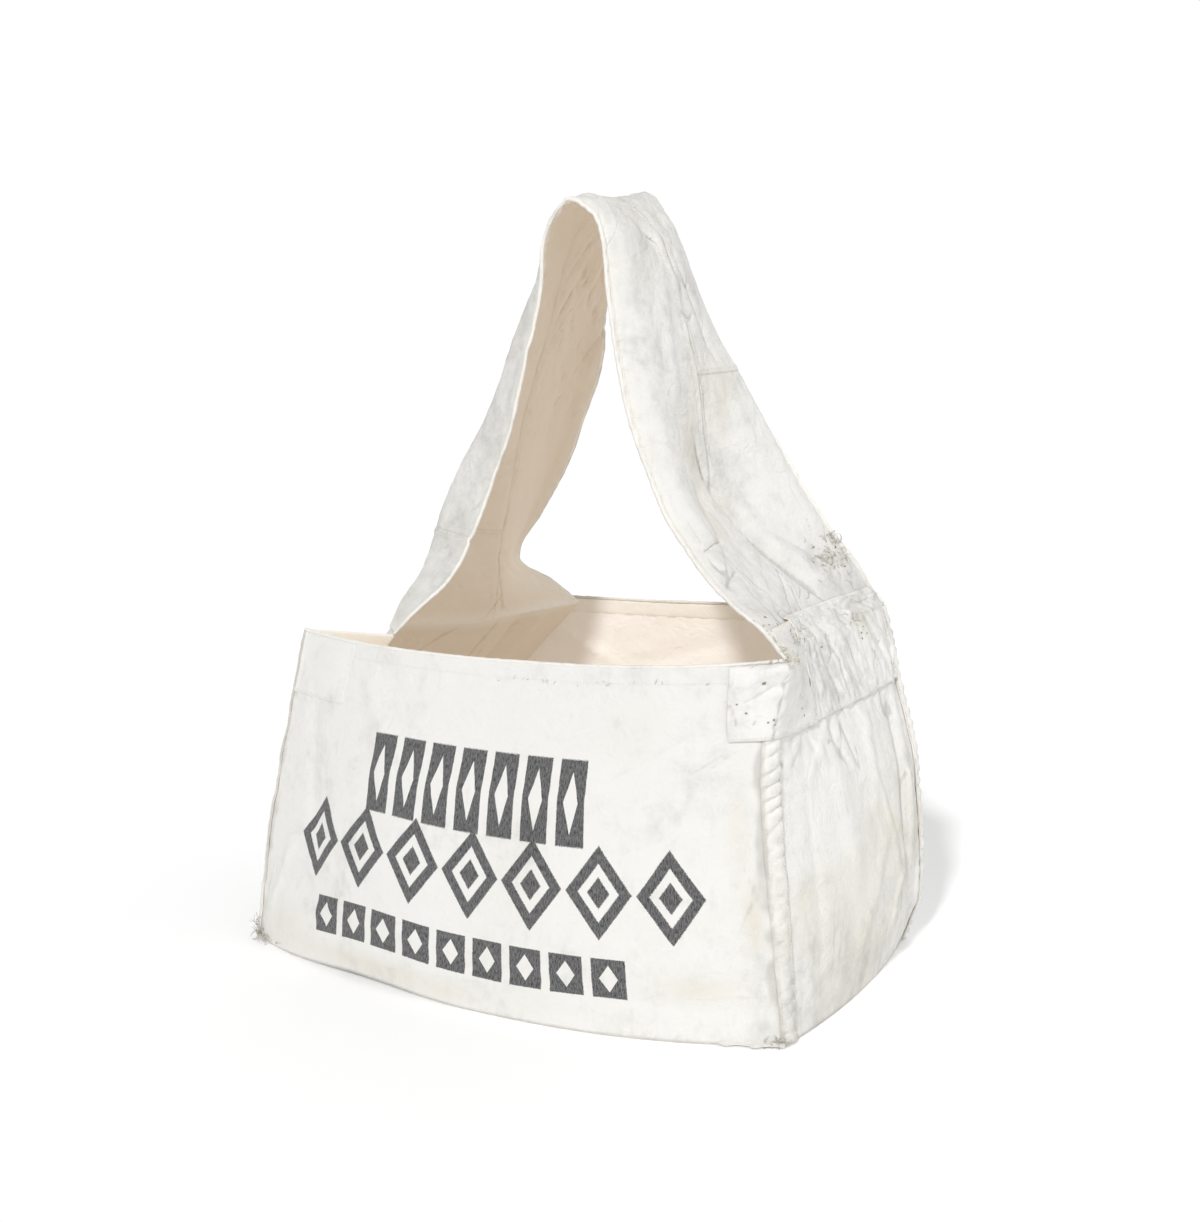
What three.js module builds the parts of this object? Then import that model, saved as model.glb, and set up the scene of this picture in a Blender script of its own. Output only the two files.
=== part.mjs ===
// Newspaper delivery bag in heavy cotton canvas, standing open with its wide carrying strap up.
// Millimetres, +Z up, front of the bag toward -Y, the lowest point on Z = 0.
import * as THREE from "three";

// Sizes that are chosen. Every other length follows from these.
const BAG_WIDTH = 610; // along the front, corner seam to corner seam, on the floor
const BAG_DEPTH = 335; // front to back, on the floor
const PANEL_HEIGHT = 350; // floor to rim
const STRAP_RISE = 440; // rim to the top of the strap
const STRAP_WIDTH = 166; // straight across the strap where it is narrowest
const CANVAS = 1.6; // one layer of canvas
const STRAP_LAYERS = 2; // the strap is doubled
const JOIN_GAP = 0.5; // between two pieces that are sewn edge to edge
const LAY_GAP = 0.3; // under a piece that lies on another

// Lengths that follow
const HALF_W = BAG_WIDTH / 2;
const HALF_D = BAG_DEPTH / 2;
const STRAP_HALF = STRAP_WIDTH / 2;
const STRAP_THICK = CANVAS * STRAP_LAYERS;

// Corner seams from the floor (v 0) to the rim (v 1).
// x is a share of HALF_W, y of HALF_D, z of PANEL_HEIGHT.
const CORNER_SEAMS = {
  front_left: [
    { v: 0, x: -1.016, y: -0.985, z: 0 },
    { v: 0.35, x: -0.955, y: -0.98, z: 0.35 },
    { v: 0.65, x: -0.895, y: -0.94, z: 0.64 },
    { v: 1, x: -0.83, y: -0.865, z: 0.965 },
  ],
  front_right: [
    { v: 0, x: 0.998, y: -1.02, z: 0 },
    { v: 0.35, x: 0.952, y: -1.0, z: 0.34 },
    { v: 0.62, x: 0.915, y: -1.0, z: 0.62 },
    { v: 0.8, x: 0.918, y: -1.0, z: 0.8 },
    { v: 1, x: 0.965, y: -0.985, z: 1.0 },
  ],
  back_right: [
    { v: 0, x: 1.0, y: 0.99, z: 0 },
    { v: 0.18, x: 1.05, y: 0.99, z: 0.18 },
    { v: 0.54, x: 1.03, y: 0.99, z: 0.55 },
    { v: 0.82, x: 0.95, y: 0.99, z: 0.84 },
    { v: 1, x: 0.9, y: 0.98, z: 1.035 },
  ],
  back_left: [
    { v: 0, x: -1.01, y: 0.985, z: 0 },
    { v: 0.35, x: -0.975, y: 0.98, z: 0.34 },
    { v: 0.65, x: -0.93, y: 0.97, z: 0.64 },
    { v: 1, x: -0.865, y: 0.945, z: 1.0 },
  ],
};

// How far each wall swells past the straight line between its corners, at height v.
// front and back are shares of HALF_D, side is a share of HALF_W.
const SWELL = [
  { v: 0, front: 0.4, back: 0.16, side: 0.045 },
  { v: 0.25, front: 0.41, back: 0.19, side: 0.06 },
  { v: 0.55, front: 0.36, back: 0.16, side: 0.055 },
  { v: 0.8, front: 0.29, back: 0.1, side: 0.01 },
  { v: 1, front: 0.25, back: 0.06, side: -0.05 },
];
const SWELL_PEAK = 0.55; // share of the width where a long wall swells most
const SWELL_POWER = 2.4; // how square the swell is
const RIM_SAG = { front: 0.03, back: 0.025 }; // shares of PANEL_HEIGHT, half way along a rim
const FRONT_LIFT = { from: 0.06, to: 0.52, rise: 0.022 }; // edge that stands off the floor

// Stations along the strap from the right rim over the top to the left rim.
// x is a share of HALF_W, z a share of STRAP_RISE above the rim. Spread is 0 where the strap
// has its own width and 1 where it is as wide as the bag is deep. Roll is how far the cloth
// next to the edge stands out past the edge, as a share of STRAP_WIDTH.
const STRAP_STATIONS = [
  { front_x: 0.965, front_z: 0.0, mid_x: 0.868, mid_z: -0.01, back_x: 0.9, back_z: 0.028, front_spread: 0.96, back_spread: 0.96, front_roll: 0.0, back_roll: 0.0 },
  { front_x: 0.872, front_z: 0.05, mid_x: 0.8, mid_z: 0.045, back_x: 0.86, back_z: 0.07, front_spread: 0.83, back_spread: 0.82, front_roll: 0.03, back_roll: 0.01 },
  { front_x: 0.761, front_z: 0.089, mid_x: 0.741, mid_z: 0.095, back_x: 0.825, back_z: 0.128, front_spread: 0.7, back_spread: 0.62, front_roll: 0.05, back_roll: 0.03 },
  { front_x: 0.63, front_z: 0.152, mid_x: 0.649, mid_z: 0.159, back_x: 0.775, back_z: 0.191, front_spread: 0.47, back_spread: 0.38, front_roll: 0.07, back_roll: 0.04 },
  { front_x: 0.544, front_z: 0.211, mid_x: 0.577, mid_z: 0.218, back_x: 0.72, back_z: 0.257, front_spread: 0.33, back_spread: 0.26, front_roll: 0.08, back_roll: 0.05 },
  { front_x: 0.456, front_z: 0.282, mid_x: 0.489, mid_z: 0.296, back_x: 0.655, back_z: 0.332, front_spread: 0.2, back_spread: 0.17, front_roll: 0.08, back_roll: 0.06 },
  { front_x: 0.397, front_z: 0.366, mid_x: 0.456, mid_z: 0.377, back_x: 0.595, back_z: 0.4, front_spread: 0.14, back_spread: 0.12, front_roll: 0.08, back_roll: 0.07 },
  { front_x: 0.334, front_z: 0.464, mid_x: 0.439, mid_z: 0.473, back_x: 0.512, back_z: 0.484, front_spread: 0.08, back_spread: 0.07, front_roll: 0.08, back_roll: 0.08 },
  { front_x: 0.289, front_z: 0.568, mid_x: 0.423, mid_z: 0.573, back_x: 0.42, back_z: 0.577, front_spread: 0.05, back_spread: 0.05, front_roll: 0.08, back_roll: 0.08 },
  { front_x: 0.256, front_z: 0.67, mid_x: 0.39, mid_z: 0.673, back_x: 0.335, back_z: 0.677, front_spread: 0.02, back_spread: 0.02, front_roll: 0.07, back_roll: 0.07 },
  { front_x: 0.233, front_z: 0.777, mid_x: 0.34, mid_z: 0.786, back_x: 0.265, back_z: 0.795, front_spread: 0, back_spread: 0.01, front_roll: 0.05, back_roll: 0.05 },
  { front_x: 0.216, front_z: 0.864, mid_x: 0.279, mid_z: 0.882, back_x: 0.21, back_z: 0.895, front_spread: 0, back_spread: 0, front_roll: 0.04, back_roll: 0.04 },
  { front_x: 0.18, front_z: 0.918, mid_x: 0.205, mid_z: 0.945, back_x: 0.165, back_z: 0.961, front_spread: 0, back_spread: 0, front_roll: 0.02, back_roll: 0.02 },
  { front_x: 0.108, front_z: 0.948, mid_x: 0.118, mid_z: 0.975, back_x: 0.118, back_z: 0.995, front_spread: 0, back_spread: 0, front_roll: 0.01, back_roll: 0.01 },
  { front_x: 0.046, front_z: 0.909, mid_x: 0.03, mid_z: 0.941, back_x: 0.055, back_z: 0.961, front_spread: 0, back_spread: 0, front_roll: 0.02, back_roll: 0.02 },
  { front_x: 0.013, front_z: 0.855, mid_x: -0.039, mid_z: 0.877, back_x: 0.01, back_z: 0.895, front_spread: 0, back_spread: 0, front_roll: 0.03, back_roll: 0.03 },
  { front_x: 0.003, front_z: 0.773, mid_x: -0.085, mid_z: 0.786, back_x: -0.018, back_z: 0.795, front_spread: 0, back_spread: 0, front_roll: 0.06, back_roll: 0.04 },
  { front_x: -0.02, front_z: 0.682, mid_x: -0.131, mid_z: 0.682, back_x: -0.05, back_z: 0.686, front_spread: 0.02, back_spread: 0.02, front_roll: 0.12, back_roll: 0.05 },
  { front_x: -0.056, front_z: 0.577, mid_x: -0.18, mid_z: 0.577, back_x: -0.082, back_z: 0.577, front_spread: 0.05, back_spread: 0.05, front_roll: 0.15, back_roll: 0.06 },
  { front_x: -0.095, front_z: 0.464, mid_x: -0.226, mid_z: 0.468, back_x: -0.145, back_z: 0.473, front_spread: 0.08, back_spread: 0.07, front_roll: 0.2, back_roll: 0.06 },
  { front_x: -0.141, front_z: 0.366, mid_x: -0.266, mid_z: 0.368, back_x: -0.22, back_z: 0.368, front_spread: 0.14, back_spread: 0.14, front_roll: 0.25, back_roll: 0.06 },
  { front_x: -0.177, front_z: 0.282, mid_x: -0.295, mid_z: 0.282, back_x: -0.298, back_z: 0.282, front_spread: 0.2, back_spread: 0.2, front_roll: 0.29, back_roll: 0.05 },
  { front_x: -0.207, front_z: 0.2, mid_x: -0.321, mid_z: 0.2, back_x: -0.393, back_z: 0.2, front_spread: 0.33, back_spread: 0.34, front_roll: 0.31, back_roll: 0.04 },
  { front_x: -0.24, front_z: 0.132, mid_x: -0.331, mid_z: 0.132, back_x: -0.488, back_z: 0.132, front_spread: 0.5, back_spread: 0.54, front_roll: 0.3, back_roll: 0.03 },
  { front_x: -0.29, front_z: 0.075, mid_x: -0.338, mid_z: 0.077, back_x: -0.5, back_z: 0.086, front_spread: 0.68, back_spread: 0.66, front_roll: 0.27, back_roll: 0.02 },
  { front_x: -0.365, front_z: 0.026, mid_x: -0.351, mid_z: 0.027, back_x: -0.4, back_z: 0.041, front_spread: 0.78, back_spread: 0.78, front_roll: 0.22, back_roll: 0.0 },
  { front_x: -0.435, front_z: -0.02, mid_x: -0.364, mid_z: -0.023, back_x: -0.29, back_z: -0.014, front_spread: 0.83, back_spread: 0.85, front_roll: 0.17, back_roll: 0.0 },
];
const ROLL_AT = 0.72; // share of the half width where the roll stands out most
const RIGHT_SPLIT = 8; // station of the cross seam in the back half, on the right
const LEFT_SPLIT = 22; // station of the cross seam in the front half, on the left

// The left end folds inward like a paper bag. Tuck is how much of the fold is reached at
// height v.
const TUCK = [
  { v: 0, tuck: 0 },
  { v: 0.25, tuck: 0.1 },
  { v: 0.5, tuck: 0.32 },
  { v: 0.75, tuck: 0.66 },
  { v: 1, tuck: 1 },
];
const TUCK_MARGIN = 0.36; // cloth next to each left corner seam, share of HALF_D on the floor

// Creases that stand out from a wall. across and up are shares of the wall, length and width
// are shares of PANEL_HEIGHT, turn is in degrees from level, height is a share of HALF_D.
const CREASES = {
  front: [
    { across: 0.86, up: 0.52, turn: 52, length: 0.5, width: 0.035, height: 0.035 },
    { across: 0.9, up: 0.3, turn: 68, length: 0.5, width: 0.03, height: -0.03 },
    { across: 0.14, up: 0.55, turn: -70, length: 0.6, width: 0.045, height: -0.04 },
    { across: 0.5, up: 0.12, turn: 4, length: 1.0, width: 0.04, height: -0.03 },
  ],
  back: [
    { across: 0.3, up: 0.6, turn: 64, length: 0.7, width: 0.05, height: 0.03 },
    { across: 0.72, up: 0.4, turn: -58, length: 0.7, width: 0.05, height: -0.035 },
  ],
  right: [
    { across: 0.86, up: 0.5, turn: 86, length: 0.7, width: 0.03, height: 0.03 },
    { across: 0.72, up: 0.55, turn: 80, length: 0.6, width: 0.035, height: -0.03 },
    { across: 0.3, up: 0.45, turn: 96, length: 0.6, width: 0.045, height: 0.03 },
  ],
};

// Grid lines across the walls and along the strap
const WALL_COLUMNS = 24;
const WALL_ROWS = [0, 0.06, 0.14, 0.24, 0.34, 0.44, 0.54, 0.64, 0.73, 0.8, 0.87, 0.94, 1];
const STRAP_COLUMNS = [-1, -0.91, -0.75, -0.55, -0.35, -0.17, 0, 0.17, 0.35, 0.55, 0.75, 0.91, 1];
const MARGIN_COLUMNS = [0, 0.13, 0.4, 0.7];
const STEPS_PER_STATION = 2;
const SEAM_COLUMN = STRAP_COLUMNS.indexOf(0);
const HEM_ROW = WALL_ROWS.length - 2; // a hem is one grid row deep
const BAND_ROW = WALL_ROWS.indexOf(0.8); // lower edge of the reinforcement at the strap's base
const PATCH_COLUMNS = { right: 2, left: 4 }; // grid columns that a front corner patch covers

const lerp = (a, b, t) => a + (b - a) * t;
const mix = (a, b, t) => a.clone().lerp(b, t);
const point = (x, y, z) => new THREE.Vector3(x, y, z);
const smooth = (t) => {
  const k = Math.min(1, Math.max(0, t));
  return k * k * (3 - 2 * k);
};

// A smooth curve through one column of a table, read at key = at
function read(rows, key, at, column) {
  let i = 0;
  while (i < rows.length - 2 && rows[i + 1][key] < at) i += 1;
  const slope = (k) => {
    const a = rows[Math.max(0, k - 1)];
    const b = rows[Math.min(rows.length - 1, k + 1)];
    return (b[column] - a[column]) / (b[key] - a[key]);
  };
  const [lo, hi] = [rows[i], rows[i + 1]];
  const span = hi[key] - lo[key];
  const t = (at - lo[key]) / span;
  const rest = 1 - t;
  const bend = t * rest * span * (rest * slope(i) - t * slope(i + 1));
  const ease = t * t * (3 - 2 * t);
  return lerp(lo[column], hi[column], ease) + bend;
}

function cornerSeam(name, v) {
  const rows = CORNER_SEAMS[name];
  const x = read(rows, "v", v, "x") * HALF_W;
  const y = read(rows, "v", v, "y") * HALF_D;
  return point(x, y, read(rows, "v", v, "z") * PANEL_HEIGHT);
}

const STATION_ROWS = STRAP_STATIONS.map((row, at) => ({ ...row, at }));
const LAST_STATION = STATION_ROWS.length - 1;
const station = (at, column) => read(STATION_ROWS, "at", at, column);

// A point of the strap: at counts stations, u runs from the front edge (-1) to the back (1)
function strapPoint(at, u) {
  const side = (name, sign) => {
    const reach = lerp(STRAP_HALF, HALF_D, station(at, `${name}_spread`));
    const z = PANEL_HEIGHT + station(at, `${name}_z`) * STRAP_RISE;
    return point(station(at, `${name}_x`) * HALF_W, sign * reach, z);
  };
  const mid = side("mid", 0);
  mid.y = 0;
  const [sign, name] = u < 0 ? [-1, "front"] : [1, "back"];
  const edge = side(name, sign);
  const ahead = Math.min(LAST_STATION, at + 0.5);
  const behind = Math.max(0, at - 0.5);
  const run_x = (station(ahead, "mid_x") - station(behind, "mid_x")) * HALF_W;
  const run_z = (station(ahead, "mid_z") - station(behind, "mid_z")) * STRAP_RISE;
  const out = point(run_z, 0, -run_x).normalize();
  const share = Math.abs(u);
  const roll = station(at, `${name}_roll`) * STRAP_WIDTH;
  const hump = share < ROLL_AT ? smooth(share / ROLL_AT) : smooth((1 - share) / (1 - ROLL_AT));
  const flat = mix(mid, edge, share);
  const round = smooth(share) * 0.5 + share * 0.5;
  flat.y = edge.y * lerp(share, Math.sin((share * Math.PI) / 2), 0.35);
  flat.x = lerp(mid.x, edge.x, round);
  return flat.addScaledVector(out, roll * hump);
}

const swell = (v, wall) => read(SWELL, "v", v, wall);

function swellAcross(u) {
  const reach = u < SWELL_PEAK ? SWELL_PEAK : 1 - SWELL_PEAK;
  return 1 - Math.abs((u - SWELL_PEAK) / reach) ** SWELL_POWER;
}

// How far the creases of one wall stand out at a point given in shares of the wall
function creaseHeight(list, across, up, width) {
  let total = 0;
  for (const c of list) {
    const dx = (across - c.across) * width;
    const dz = (up - c.up) * PANEL_HEIGHT;
    const turn = (c.turn * Math.PI) / 180;
    const along = (dx * Math.cos(turn) + dz * Math.sin(turn)) / (c.length * PANEL_HEIGHT * 0.5);
    const off = (dz * Math.cos(turn) - dx * Math.sin(turn)) / (c.width * PANEL_HEIGHT);
    const ends = smooth((1 - Math.abs(along)) * 2);
    total += c.height * HALF_D * Math.exp(-off * off) * ends;
  }
  const borders = Math.min(across, 1 - across, up, 1 - up);
  return total * smooth(borders * 12);
}

function longWall(side, u, v) {
  const sign = side === "front" ? -1 : 1;
  const base = mix(cornerSeam(`${side}_left`, v), cornerSeam(`${side}_right`, v), u);
  const hump = swellAcross(u);
  base.y += sign * (swell(v, side) * HALF_D * hump);
  base.y += sign * creaseHeight(CREASES[side], u, v, BAG_WIDTH);
  base.z -= RIM_SAG[side] * PANEL_HEIGHT * hump * v * v;
  if (side === "front") {
    const lift = (u - FRONT_LIFT.from) / (FRONT_LIFT.to - FRONT_LIFT.from);
    const arch = lift > 0 && lift < 1 ? Math.sin(lift * Math.PI) ** 2 : 0;
    base.z += FRONT_LIFT.rise * PANEL_HEIGHT * arch * (1 - v);
  }
  return base;
}

function rightWall(u, v) {
  const share = (u + 1) / 2;
  const base = mix(cornerSeam("front_right", v), cornerSeam("back_right", v), share);
  base.x += swell(v, "side") * HALF_W * (1 - u * u);
  base.x += creaseHeight(CREASES.right, share, v, BAG_DEPTH);
  const top = mix(cornerSeam("front_right", 1), cornerSeam("back_right", 1), share);
  top.x += swell(1, "side") * HALF_W * (1 - u * u);
  const pull = smooth((v - 0.55) / 0.45);
  return base.addScaledVector(strapPoint(0, u).sub(top), pull);
}

// The left wall between its two margins, u as on the strap
function leftWallMiddle(u, v) {
  const inner = HALF_D * (1 - TUCK_MARGIN);
  const floor_x = cornerSeam("front_left", 0).x;
  const low = point(floor_x, u * inner, 0);
  const high = strapPoint(LAST_STATION, u);
  const tuck = read(TUCK, "v", v, "tuck");
  const here = mix(low, high, tuck);
  here.z = high.z * v;
  return here;
}

// Columns of the left wall: front margin, middle, back margin
function leftWallRow(v) {
  const middle = STRAP_COLUMNS.map((u) => leftWallMiddle(u, v));
  const front = cornerSeam("front_left", v);
  const back = cornerSeam("back_left", v);
  const first = MARGIN_COLUMNS.map((t) => mix(front, middle[0], t));
  const last = MARGIN_COLUMNS.map((t) => mix(back, middle.at(-1), t)).reverse();
  return [...first, ...middle, ...last];
}

// Grids: a grid is a list of rows, a row is a list of points
const wallColumns = Array.from({ length: WALL_COLUMNS + 1 }, (_, i) => i / WALL_COLUMNS);
const frontGrid = WALL_ROWS.map((v) => wallColumns.map((u) => longWall("front", u, v)));
const backGrid = WALL_ROWS.map((v) => wallColumns.map((u) => longWall("back", u, v)));
const rightGrid = WALL_ROWS.map((v) => STRAP_COLUMNS.map((u) => rightWall(u, v)));
const leftGrid = WALL_ROWS.map(leftWallRow);
const strapSteps = LAST_STATION * STEPS_PER_STATION;
const strapGrid = Array.from({ length: strapSteps + 1 }, (_, i) =>
  STRAP_COLUMNS.map((u) => strapPoint(i / STEPS_PER_STATION, u)),
);

// The floor panel is stretched between the lower edges of the four walls
const depthShares = STRAP_COLUMNS.map((u) => (u + 1) / 2);
function leftFloorEdge(share) {
  return mix(cornerSeam("front_left", 0), cornerSeam("back_left", 0), share);
}
const bottomGrid = depthShares.map((w, j) =>
  wallColumns.map((u, i) => {
    const [f, b] = [frontGrid[0][i], backGrid[0][i]];
    const [l, r] = [leftFloorEdge(w), rightGrid[0][j]];
    const lengthwise = mix(f, b, w);
    const crosswise = mix(l, r, u);
    const front_pair = mix(frontGrid[0][0], frontGrid[0].at(-1), u);
    const back_pair = mix(backGrid[0][0], backGrid[0].at(-1), u);
    return lengthwise.add(crosswise).sub(mix(front_pair, back_pair, w));
  }),
);

// Unit normals of a grid; sign 1 keeps the side that the columns-then-rows cross product gives
function gridNormals(grid, sign) {
  const rows = grid.length;
  const cols = grid[0].length;
  return grid.map((row, j) =>
    row.map((_, i) => {
      const east = grid[j][Math.min(cols - 1, i + 1)].clone();
      const north = grid[Math.min(rows - 1, j + 1)][i].clone();
      east.sub(grid[j][Math.max(0, i - 1)]);
      north.sub(grid[Math.max(0, j - 1)][i]);
      return east.cross(north).normalize().multiplyScalar(sign);
    }),
  );
}

const cut = (grid, rows, cols) => {
  return grid.slice(rows[0], rows[1] + 1).map((row) => row.slice(cols[0], cols[1] + 1));
};
const raise = (grid, normals, by) => {
  return grid.map((row, j) => row.map((p, i) => p.clone().addScaledVector(normals[j][i], by)));
};

// Draws the border rows and columns of a grid in by half a gap, so sewn pieces stay apart
function drawIn(grid, by) {
  const last_row = grid.length - 1;
  const last_col = grid[0].length - 1;
  return grid.map((row, j) =>
    row.map((p, i) => {
      const q = p.clone();
      const toward = (other) => q.addScaledVector(other.clone().sub(p).normalize(), by);
      if (j === 0) toward(grid[1][i]);
      if (j === last_row) toward(grid[last_row - 1][i]);
      if (i === 0) toward(row[1]);
      if (i === last_col) toward(row[last_col - 1]);
      return q;
    }),
  );
}

// A closed sheet between two grids of the same size; far is on the side of the normals
function sheetBetween(near, far, sign) {
  const rows = near.length;
  const cols = near[0].length;
  const positions = [...near.flat(), ...far.flat()].flatMap((p) => p.toArray());
  const index = [];
  const id = (layer, j, i) => layer * rows * cols + j * cols + i;
  const quad = (a, b, c, d) => {
    const [p, q, r, s] = sign > 0 ? [a, b, c, d] : [d, c, b, a];
    index.push(p, q, r, p, r, s);
  };
  for (let j = 0; j < rows - 1; j += 1) {
    for (let i = 0; i < cols - 1; i += 1) {
      quad(id(1, j, i), id(1, j, i + 1), id(1, j + 1, i + 1), id(1, j + 1, i));
      quad(id(0, j, i), id(0, j + 1, i), id(0, j + 1, i + 1), id(0, j, i + 1));
    }
  }
  for (let i = 0; i < cols - 1; i += 1) {
    const top = rows - 1;
    quad(id(0, 0, i), id(0, 0, i + 1), id(1, 0, i + 1), id(1, 0, i));
    quad(id(1, top, i), id(1, top, i + 1), id(0, top, i + 1), id(0, top, i));
  }
  for (let j = 0; j < rows - 1; j += 1) {
    const end = cols - 1;
    quad(id(1, j, 0), id(1, j + 1, 0), id(0, j + 1, 0), id(0, j, 0));
    quad(id(0, j, end), id(0, j + 1, end), id(1, j + 1, end), id(1, j, end));
  }
  const geometry = new THREE.BufferGeometry();
  geometry.setAttribute("position", new THREE.Float32BufferAttribute(positions, 3));
  geometry.setIndex(index);
  geometry.computeVertexNormals();
  return geometry;
}

const group = new THREE.Group();
group.name = "newspaper_bag";

function add(name, geometry, color) {
  const material = new THREE.MeshStandardMaterial({ color, roughness: 0.95, metalness: 0 });
  material.name = name;
  const mesh = new THREE.Mesh(geometry, material);
  mesh.name = name;
  group.add(mesh);
}

const CANVAS_WHITE = 0xeeece4;
const CANVAS_WORN = 0xdedcd2;
const SEAM_CREAM = 0xe2dccb;

// Walls grow outward from their grid, so square corners never run into each other
function addWall(name, grid, normals, thick, color) {
  const near = drawIn(grid, JOIN_GAP / 2);
  const far = drawIn(raise(grid, normals, thick), JOIN_GAP / 2);
  const a = grid[1][1].clone().sub(grid[0][0]);
  const b = grid[1][0].clone().sub(grid[0][1]);
  const sign = b.cross(a).dot(normals[0][0]) < 0 ? 1 : -1;
  add(name, sheetBetween(near, far, sign), color);
}

const frontNormals = gridNormals(frontGrid, 1);
const backNormals = gridNormals(backGrid, -1);
const rightNormals = gridNormals(rightGrid, 1);
const leftNormals = gridNormals(leftGrid, -1);
const bottomNormals = gridNormals(bottomGrid, -1);

addWall("front_panel", frontGrid, frontNormals, CANVAS, CANVAS_WHITE);
addWall("back_panel", backGrid, backNormals, CANVAS, CANVAS_WHITE);
addWall("right_gusset", rightGrid, rightNormals, CANVAS, CANVAS_WORN);
addWall("left_gusset", leftGrid, leftNormals, CANVAS, CANVAS_WORN);
addWall("bottom_panel", bottomGrid, bottomNormals, CANVAS, CANVAS_WORN);

// The strap shares its end normals with the walls that it runs into
const marginCount = MARGIN_COLUMNS.length;
const strapNormals = gridNormals(strapGrid, 1);
strapNormals[0] = rightNormals.at(-1);
strapNormals[strapSteps] = leftNormals.at(-1).slice(marginCount, marginCount + STRAP_COLUMNS.length);
const endColumn = STRAP_COLUMNS.length - 1;
const STRAP_PIECES = [
  { name: "strap_front_half", from: 0, to: LEFT_SPLIT, cols: [0, SEAM_COLUMN] },
  { name: "strap_front_left_end", from: LEFT_SPLIT, to: LAST_STATION, cols: [0, SEAM_COLUMN] },
  { name: "strap_back_right_end", from: 0, to: RIGHT_SPLIT, cols: [SEAM_COLUMN, endColumn] },
  { name: "strap_back_half", from: RIGHT_SPLIT, to: LAST_STATION, cols: [SEAM_COLUMN, endColumn] },
];
for (const piece of STRAP_PIECES) {
  const rows = [piece.from * STEPS_PER_STATION, piece.to * STEPS_PER_STATION];
  const grid = cut(strapGrid, rows, piece.cols);
  addWall(piece.name, grid, cut(strapNormals, rows, piece.cols), STRAP_THICK, CANVAS_WORN);
}

// Pieces laid on the outside of a wall, over some of its grid rows and columns
function addLaid(name, wall, normals, rows, cols, side, color) {
  const grid = cut(wall, rows, cols);
  const part_normals = cut(normals, rows, cols).map((row) => row.map((n) => n.clone()));
  const start = side > 0 ? CANVAS + LAY_GAP : -LAY_GAP;
  const turned = part_normals.map((row) => row.map((n) => n.multiplyScalar(side)));
  const base = raise(grid, turned, side > 0 ? start : LAY_GAP);
  addWall(name, base, turned, CANVAS, color);
}

const topRow = WALL_ROWS.length - 1;
const lastWallColumn = WALL_COLUMNS;
const lastLeftColumn = leftGrid[0].length - 1;
addLaid("front_right_patch", frontGrid, frontNormals, [BAND_ROW, topRow],
  [lastWallColumn - PATCH_COLUMNS.right, lastWallColumn], 1, CANVAS_WORN);
addLaid("front_left_patch", frontGrid, frontNormals, [BAND_ROW, topRow],
  [0, PATCH_COLUMNS.left], 1, CANVAS_WHITE);
addLaid("right_base_band", rightGrid, rightNormals, [BAND_ROW, topRow],
  [1, endColumn - 1], 1, CANVAS_WORN);
addLaid("front_right_corner_seam", rightGrid, rightNormals, [0, topRow], [0, 1], 1, SEAM_CREAM);
addLaid("back_right_corner_seam", rightGrid, rightNormals, [0, topRow],
  [endColumn - 1, endColumn], 1, SEAM_CREAM);
addLaid("front_left_corner_seam", leftGrid, leftNormals, [0, topRow], [0, 1], 1, SEAM_CREAM);
addLaid("back_left_corner_seam", leftGrid, leftNormals, [0, topRow],
  [lastLeftColumn - 1, lastLeftColumn], 1, SEAM_CREAM);
addLaid("front_hem", frontGrid, frontNormals, [HEM_ROW, topRow], [1, lastWallColumn - 1], -1, SEAM_CREAM);
addLaid("back_hem", backGrid, backNormals, [HEM_ROW, topRow], [1, lastWallColumn - 1], -1, SEAM_CREAM);

// Sets the middle of the footprint over the origin and the lowest point on Z = 0
const bounds = new THREE.Box3().setFromObject(group);
const middle = bounds.getCenter(point(0, 0, 0));
for (const mesh of group.children) {
  mesh.geometry.translate(-middle.x, -middle.y, -bounds.min.z);
}

export default group;
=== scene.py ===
# %% [markdown]
# # A newspaper delivery bag, dressed in Blender
# The bag is heavy cotton canvas: a box of five panels and one very wide strap that is cut in one
# with the two end gussets. The CAD model gives plain walls in the right place. This lesson lays
# fine cloth over them: the same curves, with more rows and columns, plus creases, puckers,
# stitches, frays, dirt and print.

# %% Load the CAD frame
import math

import bpy
import numpy as np
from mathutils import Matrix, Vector


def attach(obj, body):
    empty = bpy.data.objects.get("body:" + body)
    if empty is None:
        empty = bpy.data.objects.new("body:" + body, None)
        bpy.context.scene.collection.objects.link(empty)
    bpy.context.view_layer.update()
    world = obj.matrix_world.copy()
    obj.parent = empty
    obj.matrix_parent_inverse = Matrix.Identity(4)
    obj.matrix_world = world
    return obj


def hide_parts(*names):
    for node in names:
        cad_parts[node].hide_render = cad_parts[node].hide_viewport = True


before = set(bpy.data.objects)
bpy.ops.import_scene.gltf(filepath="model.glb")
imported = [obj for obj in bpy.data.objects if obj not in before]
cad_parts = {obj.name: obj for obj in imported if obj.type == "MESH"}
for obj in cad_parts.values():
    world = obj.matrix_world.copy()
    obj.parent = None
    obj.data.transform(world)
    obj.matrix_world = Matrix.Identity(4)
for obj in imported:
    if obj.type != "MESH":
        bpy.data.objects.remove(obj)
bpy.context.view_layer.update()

# %% [markdown]
# ## Sizes
# The same few sizes drive the CAD walls. Repeating them here, and not points read from the mesh,
# lets each cloth be as fine as its wrinkles need while it still lies where the CAD says.

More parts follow.
